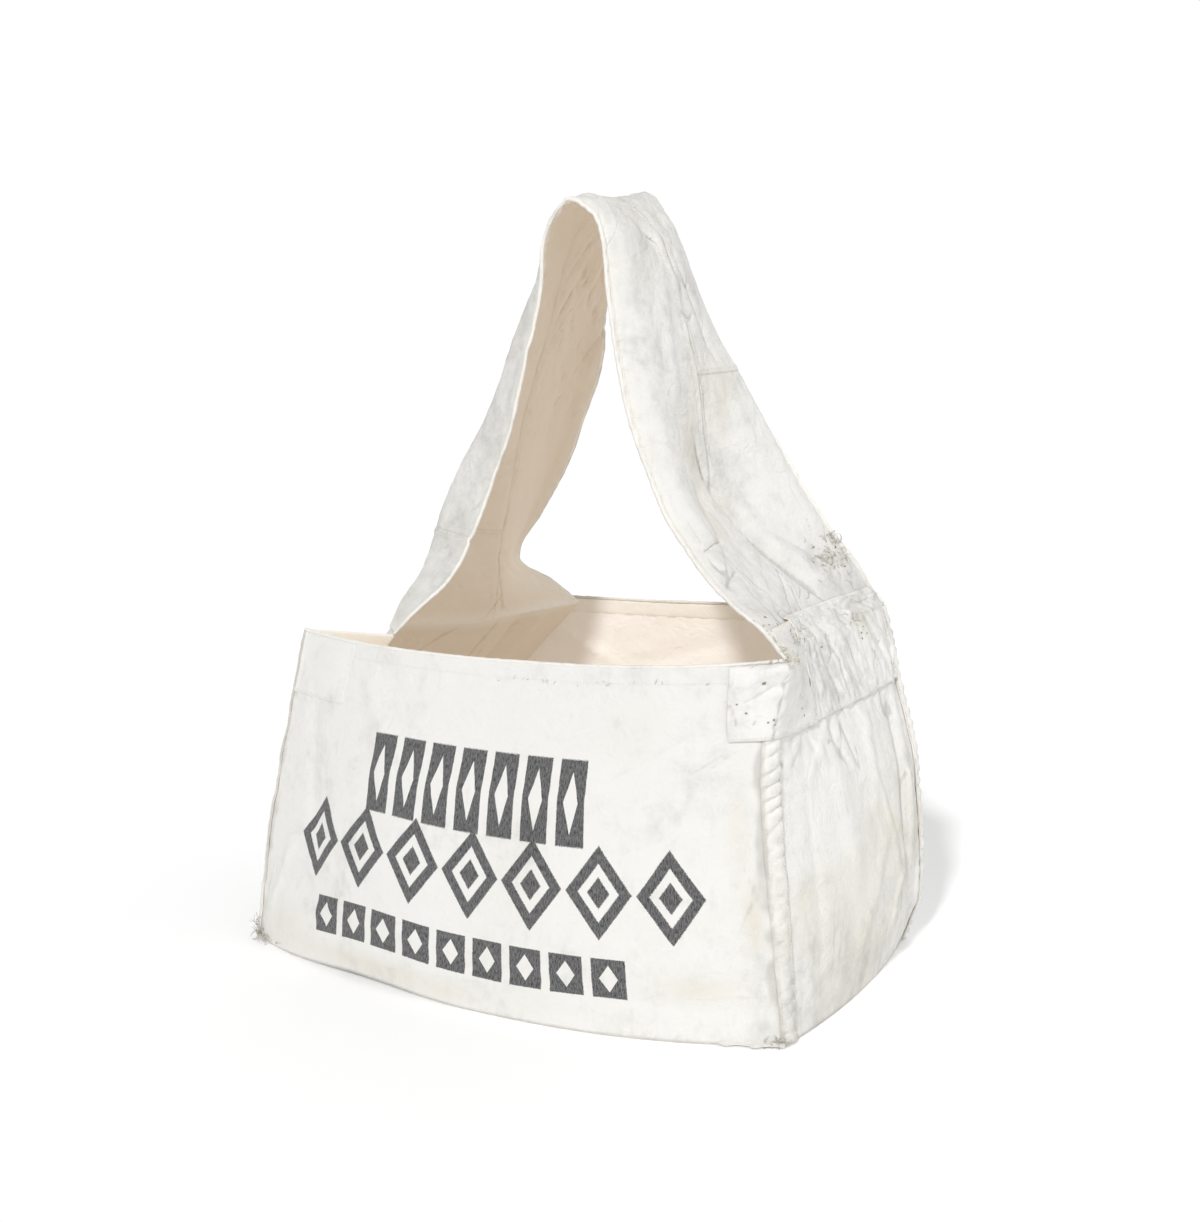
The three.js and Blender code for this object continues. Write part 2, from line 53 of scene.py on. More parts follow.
# %% Sizes of the bag, in metres
BAG_WIDTH = 0.610
BAG_DEPTH = 0.335
PANEL_HEIGHT = 0.350
STRAP_RISE = 0.440
STRAP_WIDTH = 0.166
CANVAS = 0.0016
HALF_W = BAG_WIDTH / 2
HALF_D = BAG_DEPTH / 2
STRAP_HALF = STRAP_WIDTH / 2
STRAP_THICK = 2 * CANVAS
FOOT_SHIFT = np.array([-0.00894, 0.01872, CANVAS])  # the CAD sets the footprint's middle on the origin


def table(names, *rows):
    """Named columns of a short table, one row per section of the bag."""
    return dict(zip(names.split(), np.array(rows, float).T))


CORNER_SEAMS = {
    "front_left": table("v x y z", (0, -1.016, -0.985, 0), (0.35, -0.955, -0.98, 0.35),
                        (0.65, -0.895, -0.94, 0.64), (1, -0.83, -0.865, 0.965)),
    "front_right": table("v x y z", (0, 0.998, -1.02, 0), (0.35, 0.952, -1.0, 0.34),
                         (0.62, 0.915, -1.0, 0.62), (0.8, 0.918, -1.0, 0.8), (1, 0.965, -0.985, 1.0)),
    "back_right": table("v x y z", (0, 1.0, 0.99, 0), (0.18, 1.05, 0.99, 0.18),
                        (0.54, 1.03, 0.99, 0.55), (0.82, 0.95, 0.99, 0.84), (1, 0.9, 0.98, 1.035)),
    "back_left": table("v x y z", (0, -1.01, 0.985, 0), (0.35, -0.975, 0.98, 0.34),
                       (0.65, -0.93, 0.97, 0.64), (1, -0.865, 0.945, 1.0)),
}
SWELL = table("v front back side", (0, 0.4, 0.16, 0.045), (0.25, 0.41, 0.19, 0.06),
              (0.55, 0.36, 0.16, 0.055), (0.8, 0.29, 0.1, 0.01), (1, 0.25, 0.06, -0.05))
SWELL_PEAK, SWELL_POWER = 0.55, 2.4
RIM_SAG = {"front": 0.03, "back": 0.025}
FRONT_LIFT = {"from": 0.06, "to": 0.52, "rise": 0.022}
STRAP_STATIONS = table(
    "front_x front_z mid_x mid_z back_x back_z front_spread back_spread front_roll back_roll",
    (0.965, 0.0, 0.868, -0.01, 0.9, 0.028, 0.96, 0.96, 0.0, 0.0),
    (0.872, 0.05, 0.8, 0.045, 0.86, 0.07, 0.83, 0.82, 0.03, 0.01),
    (0.761, 0.089, 0.741, 0.095, 0.825, 0.128, 0.7, 0.62, 0.05, 0.03),
    (0.63, 0.152, 0.649, 0.159, 0.775, 0.191, 0.47, 0.38, 0.07, 0.04),
    (0.544, 0.211, 0.577, 0.218, 0.72, 0.257, 0.33, 0.26, 0.08, 0.05),
    (0.456, 0.282, 0.489, 0.296, 0.655, 0.332, 0.2, 0.17, 0.08, 0.06),
    (0.397, 0.366, 0.456, 0.377, 0.595, 0.4, 0.14, 0.12, 0.08, 0.07),
    (0.334, 0.464, 0.439, 0.473, 0.512, 0.484, 0.08, 0.07, 0.08, 0.08),
    (0.289, 0.568, 0.423, 0.573, 0.42, 0.577, 0.05, 0.05, 0.08, 0.08),
    (0.256, 0.67, 0.39, 0.673, 0.335, 0.677, 0.02, 0.02, 0.07, 0.07),
    (0.233, 0.777, 0.34, 0.786, 0.265, 0.795, 0, 0.01, 0.05, 0.05),
    (0.216, 0.864, 0.279, 0.882, 0.21, 0.895, 0, 0, 0.04, 0.04),
    (0.18, 0.918, 0.205, 0.945, 0.165, 0.961, 0, 0, 0.02, 0.02),
    (0.108, 0.948, 0.118, 0.975, 0.118, 0.995, 0, 0, 0.01, 0.01),
    (0.046, 0.909, 0.03, 0.941, 0.055, 0.961, 0, 0, 0.02, 0.02),
    (0.013, 0.855, -0.039, 0.877, 0.01, 0.895, 0, 0, 0.03, 0.03),
    (0.003, 0.773, -0.085, 0.786, -0.018, 0.795, 0, 0, 0.06, 0.04),
    (-0.02, 0.682, -0.131, 0.682, -0.05, 0.686, 0.02, 0.02, 0.12, 0.05),
    (-0.056, 0.577, -0.18, 0.577, -0.082, 0.577, 0.05, 0.05, 0.15, 0.06),
    (-0.095, 0.464, -0.226, 0.468, -0.145, 0.473, 0.08, 0.07, 0.2, 0.06),
    (-0.141, 0.366, -0.266, 0.368, -0.22, 0.368, 0.14, 0.14, 0.25, 0.06),
    (-0.177, 0.282, -0.295, 0.282, -0.298, 0.282, 0.2, 0.2, 0.29, 0.05),
    (-0.207, 0.2, -0.321, 0.2, -0.393, 0.2, 0.33, 0.34, 0.31, 0.04),
    (-0.24, 0.132, -0.331, 0.132, -0.488, 0.132, 0.5, 0.54, 0.3, 0.03),
    (-0.29, 0.075, -0.338, 0.077, -0.5, 0.086, 0.68, 0.66, 0.27, 0.02),
    (-0.365, 0.026, -0.351, 0.027, -0.4, 0.041, 0.78, 0.78, 0.22, 0.0),
    (-0.435, -0.02, -0.364, -0.023, -0.29, -0.014, 0.83, 0.85, 0.17, 0.0))
LAST_STATION = len(STRAP_STATIONS["front_x"]) - 1
ROLL_AT = 0.72
RIGHT_SPLIT, LEFT_SPLIT = 8, 22
TUCK = table("v tuck", (0, 0), (0.25, 0.1), (0.5, 0.32), (0.75, 0.66), (1, 1))
TUCK_MARGIN = 0.36
PATCH_HEIGHT = 0.8  # share of the wall's height where the base patches start
# Which edges of a cloth are free: its first row, last row, first column and last column.
TOP_FREE = (False, True, False, False)
ALL_FREE = (True, True, True, True)


# %% [markdown]
# ## Reading a smooth curve out of a table
# Cloth has no kinks where a table has a row, so values between rows follow a cubic curve. The
# slopes at the rows are those of the neighbours, which is the simplest rule that stays smooth.

# %% Curves and blends
def read(rows, key, at, column):
    xs, ys = (np.arange(len(rows[column])), rows[column]) if key == "at" else (rows[key], rows[column])
    at = np.asarray(at, float)
    slope = np.gradient(ys, xs)
    slope[1:-1] = (ys[2:] - ys[:-2]) / (xs[2:] - xs[:-2])
    i = np.clip(np.searchsorted(xs, at, side="left") - 1, 0, len(xs) - 2)
    span = xs[i + 1] - xs[i]
    t = (at - xs[i]) / span
    bend = t * (1 - t) * span * ((1 - t) * slope[i] - t * slope[i + 1])
    return ys[i] + (ys[i + 1] - ys[i]) * t * t * (3 - 2 * t) + bend


def smooth(t):
    k = np.clip(t, 0, 1)
    return k * k * (3 - 2 * k)


def xyz(x, y, z):
    return np.stack(np.broadcast_arrays(x, y, z), -1).astype(float)


# %% [markdown]
# ## Soft noise
# Worn canvas is never smooth: it has billows a hand wide, crumples a finger wide and small
# puckers. All of them come from one seeded noise, so each run gives the same bag.

# %% Noise in the cloth's own length and width
def lattice(ix, iy, seed):
    n = (ix * 374761393 + iy * 668265263 + seed * 974634777) & 0xFFFFFFFF
    n = ((n ^ (n >> 13)) * 1274126177) & 0xFFFFFFFF
    return ((n ^ (n >> 16)) & 0xFFFF) / 32768.0 - 1.0


def noise(x, y, seed=0):
    x, y = np.broadcast_arrays(np.asarray(x, float), np.asarray(y, float))
    ix, iy = np.floor(x).astype(np.int64), np.floor(y).astype(np.int64)
    fx, fy = x - ix, y - iy
    fx, fy = fx ** 3 * (fx * (6 * fx - 15) + 10), fy ** 3 * (fy * (6 * fy - 15) + 10)
    low = lattice(ix, iy, seed) * (1 - fx) + lattice(ix + 1, iy, seed) * fx
    high = lattice(ix, iy + 1, seed) * (1 - fx) + lattice(ix + 1, iy + 1, seed) * fx
    return low * (1 - fy) + high * fy


def layered(x, y, seed=0, octaves=3):
    """Noise with finer and fainter copies of itself on top."""
    parts = (noise(x * 2 ** k + 17.3 * k, y * 2 ** k - 9.1 * k, seed + k) / 2 ** k for k in range(octaves))
    return sum(parts) / 1.6


def turned(x, y, turn):
    """Places measured along and across a direction that is given in degrees."""
    c, s = math.cos(math.radians(turn)), math.sin(math.radians(turn))
    return x * c + y * s, y * c - x * s


def crumple(x, y, size, seed, turn=0.0, stretch=1.0):
    """Sharp-topped crumples of about that size, longer along the turned direction."""
    along, off = turned(x, y, turn)
    a, b = along / (size * stretch), off / size
    a, b = a + 0.6 * noise(a * 0.7, b * 0.7, seed + 5), b + 0.6 * noise(a * 0.7 + 9, b * 0.7, seed + 6)
    return sum((0.5 - np.abs(noise(a * k, b * k, seed + k)) ** 0.8) / k for k in (1, 2, 4))


def pinches(x, y, size, seed, turn=0.0, stretch=1.0):
    """Thin broken lines along which the cloth is pinched: 1 on a line, 0 away from it."""
    along, off = turned(x, y, turn)
    a, b = along / (size * stretch), off / size
    a, b = a + 0.5 * noise(a * 0.8, b * 0.8, seed + 5), b + 0.5 * noise(a * 0.8 + 9, b * 0.8, seed + 6)
    return np.exp(-(noise(a, b, seed) / 0.05) ** 2) * smooth(0.5 + 4 * noise(a * 1.3 + 4, b * 1.3, seed + 1))


def crease(x, y, cx, cy, turn, length, width, height):
    """One fold with soft ends: a ridge where height is positive, a valley where it isn't."""
    along, off = turned(x - cx, y - cy, turn)
    off = (off + 0.15 * width * noise(x / 0.02, y / 0.02, 7)) / width
    return height * np.exp(-off * off) * smooth((1 - np.abs(along / (length / 2))) * 2)


# %% [markdown]
# ## The walls as surfaces
# Every wall is a function from two shares, across and up, to a place in the room. A corner seam is
# one curve that both of its walls read, so the sewn edges meet by themselves.

# %% Surfaces of the body and the strap
SEAM_WANDER = 0.0022
EDGE_WANDER = 0.0012


def corner_seam(name, v):
    rows = CORNER_SEAMS[name]
    x, y, z = (read(rows, "v", v, k) for k in "xyz")
    seed = 31 * len(name) + ord(name[0])
    wander = SEAM_WANDER * np.sin(np.clip(v, 0, 1) * math.pi) ** 0.5
    x = x * HALF_W + wander * layered(v * 9, 0.5, seed)
    y = y * HALF_D + wander * layered(v * 8, 3.5, seed + 3)
    return xyz(x, y, z * PANEL_HEIGHT)


def station(at, column):
    return read(STRAP_STATIONS, "at", at, column)


def strap_point(at, u):
    at, u = np.broadcast_arrays(np.asarray(at, float), np.asarray(u, float))
    mid = xyz(station(at, "mid_x") * HALF_W, 0, PANEL_HEIGHT + station(at, "mid_z") * STRAP_RISE)
    ahead, behind = np.minimum(LAST_STATION, at + 0.5), np.maximum(0, at - 0.5)
    run_x = (station(ahead, "mid_x") - station(behind, "mid_x")) * HALF_W
    run_z = (station(ahead, "mid_z") - station(behind, "mid_z")) * STRAP_RISE
    out = xyz(run_z, 0, -run_x)
    out /= np.linalg.norm(out, axis=-1, keepdims=True)
    share = np.abs(u)
    hump = np.where(share < ROLL_AT, smooth(share / ROLL_AT), smooth((1 - share) / (1 - ROLL_AT)))
    sides = []
    for name, sign in (("front", -1), ("back", 1)):
        reach = STRAP_HALF + (HALF_D - STRAP_HALF) * station(at, f"{name}_spread")
        wander = EDGE_WANDER * layered(at * 2.1, 0.5, 40 + sign)
        reach = reach + wander * smooth(at) * smooth(LAST_STATION - at)
        edge_x = station(at, f"{name}_x") * HALF_W
        edge_z = PANEL_HEIGHT + station(at, f"{name}_z") * STRAP_RISE
        bow = smooth(share) * 0.5 + share * 0.5
        x = mid[..., 0] + (edge_x - mid[..., 0]) * bow
        y = sign * reach * (share * 0.65 + np.sin(share * math.pi / 2) * 0.35)
        z = mid[..., 2] + (edge_z - mid[..., 2]) * share
        roll = station(at, f"{name}_roll") * STRAP_WIDTH * hump
        sides.append(xyz(x, y, z) + out * roll[..., None])
    return np.where((u < 0)[..., None], sides[0], sides[1])


def swell_across(u):
    reach = np.where(u < SWELL_PEAK, SWELL_PEAK, 1 - SWELL_PEAK)
    return 1 - np.abs((u - SWELL_PEAK) / reach) ** SWELL_POWER


def long_wall(side, u, v):
    sign = -1 if side == "front" else 1
    left, right = corner_seam(f"{side}_left", v), corner_seam(f"{side}_right", v)
    base = left + (right - left) * np.asarray(u)[..., None]
    hump = swell_across(u)
    base[..., 1] += sign * read(SWELL, "v", v, side) * HALF_D * hump
    base[..., 2] -= RIM_SAG[side] * PANEL_HEIGHT * hump * v * v
    if side == "front":
        lift = (u - FRONT_LIFT["from"]) / (FRONT_LIFT["to"] - FRONT_LIFT["from"])
        arch = np.where((lift > 0) & (lift < 1), np.sin(lift * math.pi) ** 2, 0)
        base[..., 2] += FRONT_LIFT["rise"] * PANEL_HEIGHT * arch * (1 - v)
    return base


def right_wall(u, v):
    share = (u + 1) / 2

    def chord(height):
        a, b = corner_seam("front_right", height), corner_seam("back_right", height)
        p = a + (b - a) * share[..., None]
        p[..., 0] += read(SWELL, "v", height, "side") * HALF_W * (1 - u * u)
        return p

    pull = smooth((v - 0.55) / 0.45)[..., None]
    return chord(v) + (strap_point(0 * v, u) - chord(v * 0 + 1.0)) * pull


def left_middle(u, v):
    low = xyz(CORNER_SEAMS["front_left"]["x"][0] * HALF_W, u * HALF_D * (1 - TUCK_MARGIN), 0)
    high = strap_point(LAST_STATION + 0 * v, u)
    here = low + (high - low) * read(TUCK, "v", v, "tuck")[..., None]
    here[..., 2] = high[..., 2] * v
    return here


def left_wall(s, v):
    """s from 0 to 1 runs over the front margin, from 1 to 3 over the middle, to 4 over the back one."""
    u = np.clip(s - 2, -1, 1)
    here = left_middle(u, v)
    front, back = corner_seam("front_left", v), corner_seam("back_left", v)
    a, b = np.clip(s, 0, 1)[..., None], np.clip(4 - s, 0, 1)[..., None]
    here = np.where((s < 1)[..., None], front + (left_middle(0 * v - 1, v) - front) * a, here)
    return np.where((s > 3)[..., None], back + (left_middle(0 * v + 1, v) - back) * b, here)


def floor_wall(u, w):
    zero = np.zeros_like(u)
    f, b = long_wall("front", u, zero), long_wall("back", u, zero)
    l0, l1 = corner_seam("front_left", zero), corner_seam("back_left", zero)
    left = l0 + (l1 - l0) * w[..., None]
    right = right_wall(w * 2 - 1, zero)
    f0, f1 = long_wall("front", zero, zero), long_wall("front", zero + 1, zero)
    b0, b1 = long_wall("back", zero, zero), long_wall("back", zero + 1, zero)
    U, W = u[..., None], w[..., None]
    corners = (f0 + (f1 - f0) * U) * (1 - W) + (b0 + (b1 - b0) * U) * W
    return f * (1 - W) + b * W + left * (1 - U) + right * U - corners


STRAP_TOP = 13.0  # the station at the top of the arch
print("strap top", float(strap_point(STRAP_TOP, 1.0)[2] + FOOT_SHIFT[2]))

# %% [markdown]
# ## Turning a surface into cloth
# A sheet of canvas has two faces and a rounded edge. The grid is the inner face, the outer face
# stands one thickness off it, and a ring between them rounds the edge. Each sheet also carries
# what its finish needs: its own flat length and width as a UV map, how high or low each place
# lies next to its surroundings, how dirty it is, and how near it is to an edge.

# %% Measuring a grid
materials = {}
made = []
faces_of = {}
cut_of = {}
EDGE_REACH = 0.014  # how far in from a free edge the cloth is paler: a painted highlight
NEAR_STEPS, WIDE_STEPS = 6, 30  # how many grid steps the two surroundings of a place reach


def unit(vectors, least=1e-9):
    return vectors / np.maximum(np.linalg.norm(vectors, axis=-1, keepdims=True), least)


def normals_of(grid, sign):
    east = np.empty_like(grid)
    east[:, 1:-1] = grid[:, 2:] - grid[:, :-2]
    east[:, 0], east[:, -1] = grid[:, 1] - grid[:, 0], grid[:, -1] - grid[:, -2]
    north = np.empty_like(grid)
    north[1:-1] = grid[2:] - grid[:-2]
    north[0], north[-1] = grid[1] - grid[0], grid[-1] - grid[-2]
    return sign * unit(np.cross(east, north), 1e-12)


def spread(values, steps):
    """Each value mixed with its neighbours, as many steps out as told."""
    for _ in range(steps):
        p = np.pad(values, 1, mode="edge")
        values = (p[:-2, 1:-1] + p[2:, 1:-1] + p[1:-1, :-2] + p[1:-1, 2:] + 4 * values) / 8
    return values


def running(points):
    """Running length along a line of points."""
    return np.concatenate([[0], np.cumsum(np.linalg.norm(np.diff(points, axis=0), axis=1))])


# %% Making a mesh
def new_object(name, verts, faces, *painted):
    mesh = bpy.data.meshes.new(name)
    mesh.from_pydata([tuple(p) for p in verts], [], [tuple(f) for f in faces])
    mesh.validate()
    mesh.polygons.foreach_set("use_smooth", [True] * len(mesh.polygons))
    piece = bpy.data.objects.new(name, mesh)
    bpy.context.collection.objects.link(piece)
    for material in painted:
        mesh.materials.append(materials[material])
    made.append(piece)
    return piece


def add_attribute(mesh, name, values):
    layer = mesh.attributes.new(name, "FLOAT", "POINT")
    layer.data.foreach_set("value", np.asarray(values, np.float32))


def lay_flat(mesh, places):
    """Writes each vertex's place on the flat cloth, in metres, as the UV map."""
    uv = mesh.uv_layers.new(name="cloth")
    loops = np.empty(len(mesh.loops), np.int32)
    mesh.loops.foreach_get("vertex_index", loops)
    uv.data.foreach_set("uv", places[loops].astype(np.float32).ravel())


# %% The cloth maker
def relief_of(rise, base, n):
    """How high or low each place lies next to what is near it and what is a little farther off."""
    relief = rise * 1000 + curvature(base, n)
    near, wide = relief - spread(relief, NEAR_STEPS), relief - spread(relief, WIDE_STEPS)
    return np.tanh(near * 1.1) * 0.6 + np.tanh(wide * 0.4) * 0.6


def cloth(name, grid, sign, thick, bump=None, grime=None, inside="canvas_inside", outside="canvas",
          free=(False, False, False, False), uv_start=(0.0, 0.0), lines=0.0, spots=0.0):
    """free tells which edges show a rounded edge: first row, last row, first column, last column.
    lines is how much darker a seam, a pinch or a fold is drawn, partly dirt and partly painted shade, spots
    where the cloth is stained."""
    rows, cols = grid.shape[:2]
    rise = np.zeros((rows, cols)) if bump is None else bump
    base = grid + normals_of(grid, sign) * rise[..., None]
    n = normals_of(base, sign)
    low, high = base + FOOT_SHIFT, base + n * thick + FOOT_SHIFT
    rim = edge_ring(rows, cols)
    inward = np.zeros((len(rim), 3))
    ring_free = np.zeros(len(rim))
    for k, (j, i) in enumerate(rim):
        for here, other, flag in ((j == 0, (1, i), free[0]), (j == rows - 1, (rows - 2, i), free[1]),
                                  (i == 0, (j, 1), free[2]), (i == cols - 1, (j, cols - 2), free[3])):
            if here and flag:
                inward[k] += unit(base[j, i] - base[other])
                ring_free[k] = 1
    mid = np.array([(low[j, i] + high[j, i]) / 2 for j, i in rim]) + inward * thick * 0.42
    count = rows * cols
    q = np.arange(count).reshape(rows, cols)
    quads = np.stack([q[:-1, :-1], q[:-1, 1:], q[1:, 1:], q[1:, :-1]], -1).reshape(-1, 4)
    over, under = quads + count, quads[:, ::-1]
    lo = np.array([q[j, i] for j, i in rim])
    ring = np.arange(len(rim)) + 2 * count
    lo_next, ring_next = np.roll(lo, -1), np.roll(ring, -1)
    sides = np.concatenate([np.stack([lo, lo_next, ring_next, ring], -1),
                            np.stack([ring, ring_next, lo_next + count, lo + count], -1)])
    if sign < 0:
        over, under, sides = over[:, ::-1], under[:, ::-1], sides[:, ::-1]
    verts = np.concatenate([low.reshape(-1, 3), high.reshape(-1, 3), mid])
    mesh = new_object(name, verts, np.concatenate([under, over, sides]).tolist(), inside, outside).data
    index = np.repeat([0, 1, 0, 1], [len(under), len(over), len(rim), len(rim)])
    mesh.polygons.foreach_set("material_index", index.astype(np.int32))
    a, b = running(grid_line(grid, 0)), running(grid_line(grid, 1))

    def on_all(inner, outer, edge):
        """Values for the inner face, the outer face and the ring between them."""
        inner, outer = inner.reshape(count, -1), outer.reshape(count, -1)
        return np.concatenate([inner, outer, edge.reshape(len(rim), -1)])

    flat = xyz(a[None, :] + uv_start[0], b[:, None] + uv_start[1], 0)[..., :2]
    lay_flat(mesh, on_all(flat, flat, flat.reshape(-1, 2)[lo]))
    # Where fold is low, the materials paint shade into the crease.
    fold = np.clip(relief_of(rise, base, n) - lines, -1.5, 1)
    dirt = np.zeros((rows, cols)) if grime is None else np.clip(grime, 0, 1)
    marks = np.broadcast_to(spots, (rows, cols)).reshape(rows, cols)
    edge = edge_nearness(grid, free)
    for kind, inner, outer, border in (("fold", -fold, fold, fold.ravel()[lo]),
                                       ("spots", marks * 0.3, marks, marks.ravel()[lo]),
                                       ("grime", dirt * 0.4, dirt, dirt.ravel()[lo]),
                                       ("edge", edge, edge, ring_free)):
        add_attribute(mesh, kind, on_all(inner, outer, border).ravel())
    faces_of[name] = {"inner": (low, -n), "outer": (high, n)}
    cut_of[name] = cut_size(grid)


def grid_line(grid, axis):
    """The middle row, for axis 0, or the middle column of a grid."""
    return grid[grid.shape[0] // 2] if axis == 0 else grid[:, grid.shape[1] // 2]


# %% Edges and cut sizes
def cut_size(grid):
    """Width and length of the smallest rectangle that the piece is cut from, and the piece's area."""
    across = np.linalg.norm(np.diff(grid, axis=1), axis=-1).sum(1).max()
    along = np.linalg.norm(np.diff(grid, axis=0), axis=-1).sum(0).max()
    a, b = grid[1:, 1:] - grid[:-1, :-1], grid[1:, :-1] - grid[:-1, 1:]
    area = np.linalg.norm(np.cross(a, b), axis=-1).sum() / 2
    return float(across), float(along), float(area)


def curvature(base, n):
    """Height of each place over the mean of its neighbours, in millimetres, times the grid's pace."""
    mean = np.stack([spread(base[..., k], 4) for k in range(3)], -1)
    return ((base - mean) * n).sum(-1) * 1000


def edge_ring(rows, cols):
    """The border places in one closed walk, in the sense that keeps the side walls facing out."""
    walk = [(0, i) for i in range(cols)] + [(j, cols - 1) for j in range(1, rows)]
    return walk + [(rows - 1, i) for i in range(cols - 2, -1, -1)] + [(j, 0) for j in range(rows - 2, 0, -1)]


def edge_nearness(grid, free):
    """1 at a free edge, 0 from 14 mm in."""
    rows, cols = grid.shape[:2]
    across = np.linalg.norm(np.diff(grid, axis=1), axis=-1)
    along = np.linalg.norm(np.diff(grid, axis=0), axis=-1)
    a = np.concatenate([np.zeros((rows, 1)), np.cumsum(across, 1)], 1)
    b = np.concatenate([np.zeros((1, cols)), np.cumsum(along, 0)], 0)
    far = np.full((rows, cols), 1.0)
    for flag, dist in zip(free, (b, b[-1:] - b, a, a[:, -1:] - a)):
        if flag:
            far = np.minimum(far, dist / EDGE_REACH)
    return np.clip(1 - far, 0, 1)


def fade(dist, reach=0.012):
    return smooth(np.asarray(dist) / reach)


def puckers(dist, along, pitch, height, reach, seed):
    """Small gathers that a tight seam pulls into the cloth beside it."""
    wave = np.sin(2 * math.pi * (along / pitch + 0.8 * noise(along / (pitch * 3), 0.5, seed)))
    size = 0.55 + 0.45 * noise(along / (pitch * 4), 2.5, seed + 1)
    return height * wave * size * smooth(dist / 0.003) * np.exp(-dist / reach)


# %% [markdown]
# ## Folds of each wall
# The front hangs almost smooth with a few long pulls from the strap's base, the end wall under
# the strap is creased up and down, and the strap is crumpled along its whole length. Each list
# below names folds by their place on that piece's own cloth.

# %% Folds in the five walls
def front_folds(u, v):
    x, z = u * BAG_WIDTH, v * PANEL_HEIGHT
    sides = np.minimum(x, BAG_WIDTH - x)
    rise = 0.0034 * layered(x / 0.17, z / 0.15, 11, 2)
    rise += 0.0016 * crumple(x, z, 0.085, 12, 65, 1.8) * (0.35 + 0.65 * np.exp(-sides / 0.09))
    rise += 0.0007 * crumple(x, z, 0.03, 13, 20, 1.4) * (0.3 + 0.7 * np.exp(-np.minimum(sides, z) / 0.05))
    for spot in ((0.525, 0.245, 38, 0.15, 0.008, 0.0022), (0.50, 0.262, 30, 0.12, 0.007, -0.0016),
                 (0.545, 0.16, 66, 0.2, 0.012, 0.002), (0.585, 0.1, 80, 0.16, 0.009, -0.0018),
                 (0.40, 0.31, 12, 0.16, 0.012, 0.0012), (0.16, 0.27, -60, 0.17, 0.013, 0.0022),
                 (0.07, 0.2, -74, 0.24, 0.012, -0.0026), (0.035, 0.08, 70, 0.12, 0.007, 0.0022),
                 (0.1, 0.05, 25, 0.14, 0.008, 0.0018), (0.3, 0.03, 3, 0.34, 0.007, 0.0016),
                 (0.47, 0.035, -4, 0.22, 0.008, -0.0014), (0.25, 0.19, 40, 0.2, 0.02, 0.0012)):
        rise += crease(x, z, *spot)
    rise += puckers(sides, z, 0.021, 0.0009, 0.02, 21)
    rise += puckers(PANEL_HEIGHT - z - 0.018, x, 0.026, 0.0006, 0.014, 22) * (z < PANEL_HEIGHT - 0.018)
    rise += 0.0012 * np.exp(-((PANEL_HEIGHT - z - 0.018) / 0.003) ** 2) * -0.6
    rise += 0.0008 * layered(x / 0.05, z / 0.3, 23) * smooth(v)
    return rise * fade(sides) * fade(z)


def back_folds(u, v):
    x, z = u * BAG_WIDTH, v * PANEL_HEIGHT
    sides = np.minimum(x, BAG_WIDTH - x)
    rise = 0.004 * layered(x / 0.18, z / 0.15, 51, 2) + 0.0017 * crumple(x, z, 0.09, 52, 75, 1.9)
    rise += 0.0006 * crumple(x, z, 0.03, 53, 10, 1.3)
    for spot in ((0.2, 0.2, 64, 0.26, 0.014, 0.003), (0.44, 0.15, -58, 0.24, 0.014, -0.003),
                 (0.33, 0.29, 15, 0.2, 0.01, 0.0018), (0.53, 0.25, 50, 0.16, 0.009, 0.002),
                 (0.18, 0.3, -25, 0.16, 0.009, -0.003)):
        rise += crease(x, z, *spot)
    rise += puckers(sides, z, 0.023, 0.0009, 0.02, 54)
    rise += puckers(PANEL_HEIGHT - z - 0.018, x, 0.026, 0.0006, 0.014, 55) * (z < PANEL_HEIGHT - 0.018)
    return rise * fade(sides) * fade(z)


def right_folds(u, v):
    y, z = (u + 1) * HALF_D, v * PANEL_HEIGHT
    sides = np.minimum(y, BAG_DEPTH - y)
    rearward = smooth((u + 0.1) / 0.9)
    rise = 0.0035 * layered(y / 0.12, z / 0.2, 61, 2)
    rise += 0.0024 * crumple(y, z, 0.06, 62, 84, 2.4) * (0.3 + 0.7 * rearward)
    rise += 0.0010 * crumple(y, z, 0.025, 63, 100, 2.2) * (0.25 + 0.75 * rearward)
    for spot in ((0.29, 0.2, 88, 0.24, 0.007, 0.004), (0.265, 0.17, 84, 0.26, 0.006, -0.0035),
                 (0.31, 0.12, 95, 0.2, 0.006, 0.003), (0.2, 0.23, 70, 0.14, 0.01, 0.003),
                 (0.12, 0.2, 100, 0.2, 0.014, 0.0028), (0.06, 0.13, 92, 0.2, 0.008, -0.002),
                 (0.17, 0.1, 55, 0.18, 0.011, 0.0026), (0.1, 0.26, 40, 0.12, 0.008, 0.0022),
                 (0.045, 0.262, 40, 0.05, 0.004, 0.0026), (0.09, 0.255, 118, 0.06, 0.005, 0.003),
                 (0.135, 0.25, 112, 0.07, 0.005, -0.003), (0.22, 0.15, 112, 0.16, 0.006, 0.003),
                 (0.24, 0.09, 64, 0.12, 0.006, 0.0028), (0.285, 0.07, 110, 0.12, 0.005, -0.003)):
        rise += crease(y, z, *spot)
    rise += puckers(sides - 0.015, z, 0.019, 0.0008, 0.012, 64) * (sides > 0.015)
    rise -= 0.0009 * pinches(y, z, 0.03, 321, 84, 3.4) * smooth((v - 0.45) / 0.3)
    near_band = PANEL_HEIGHT * PATCH_HEIGHT - z
    rise += puckers(near_band, y, 0.024, 0.0020, 0.03, 65) * (near_band > 0)
    rise += 0.0016 * crumple(y, z, 0.022, 66, 80, 1.6) * smooth((v - 0.76) / 0.06)
    return rise * fade(sides, 0.008) * fade(z) * fade((1 - v) * PANEL_HEIGHT, 0.006)


LEFT_PART = 0.09  # flat width of each of the left gusset's four parts


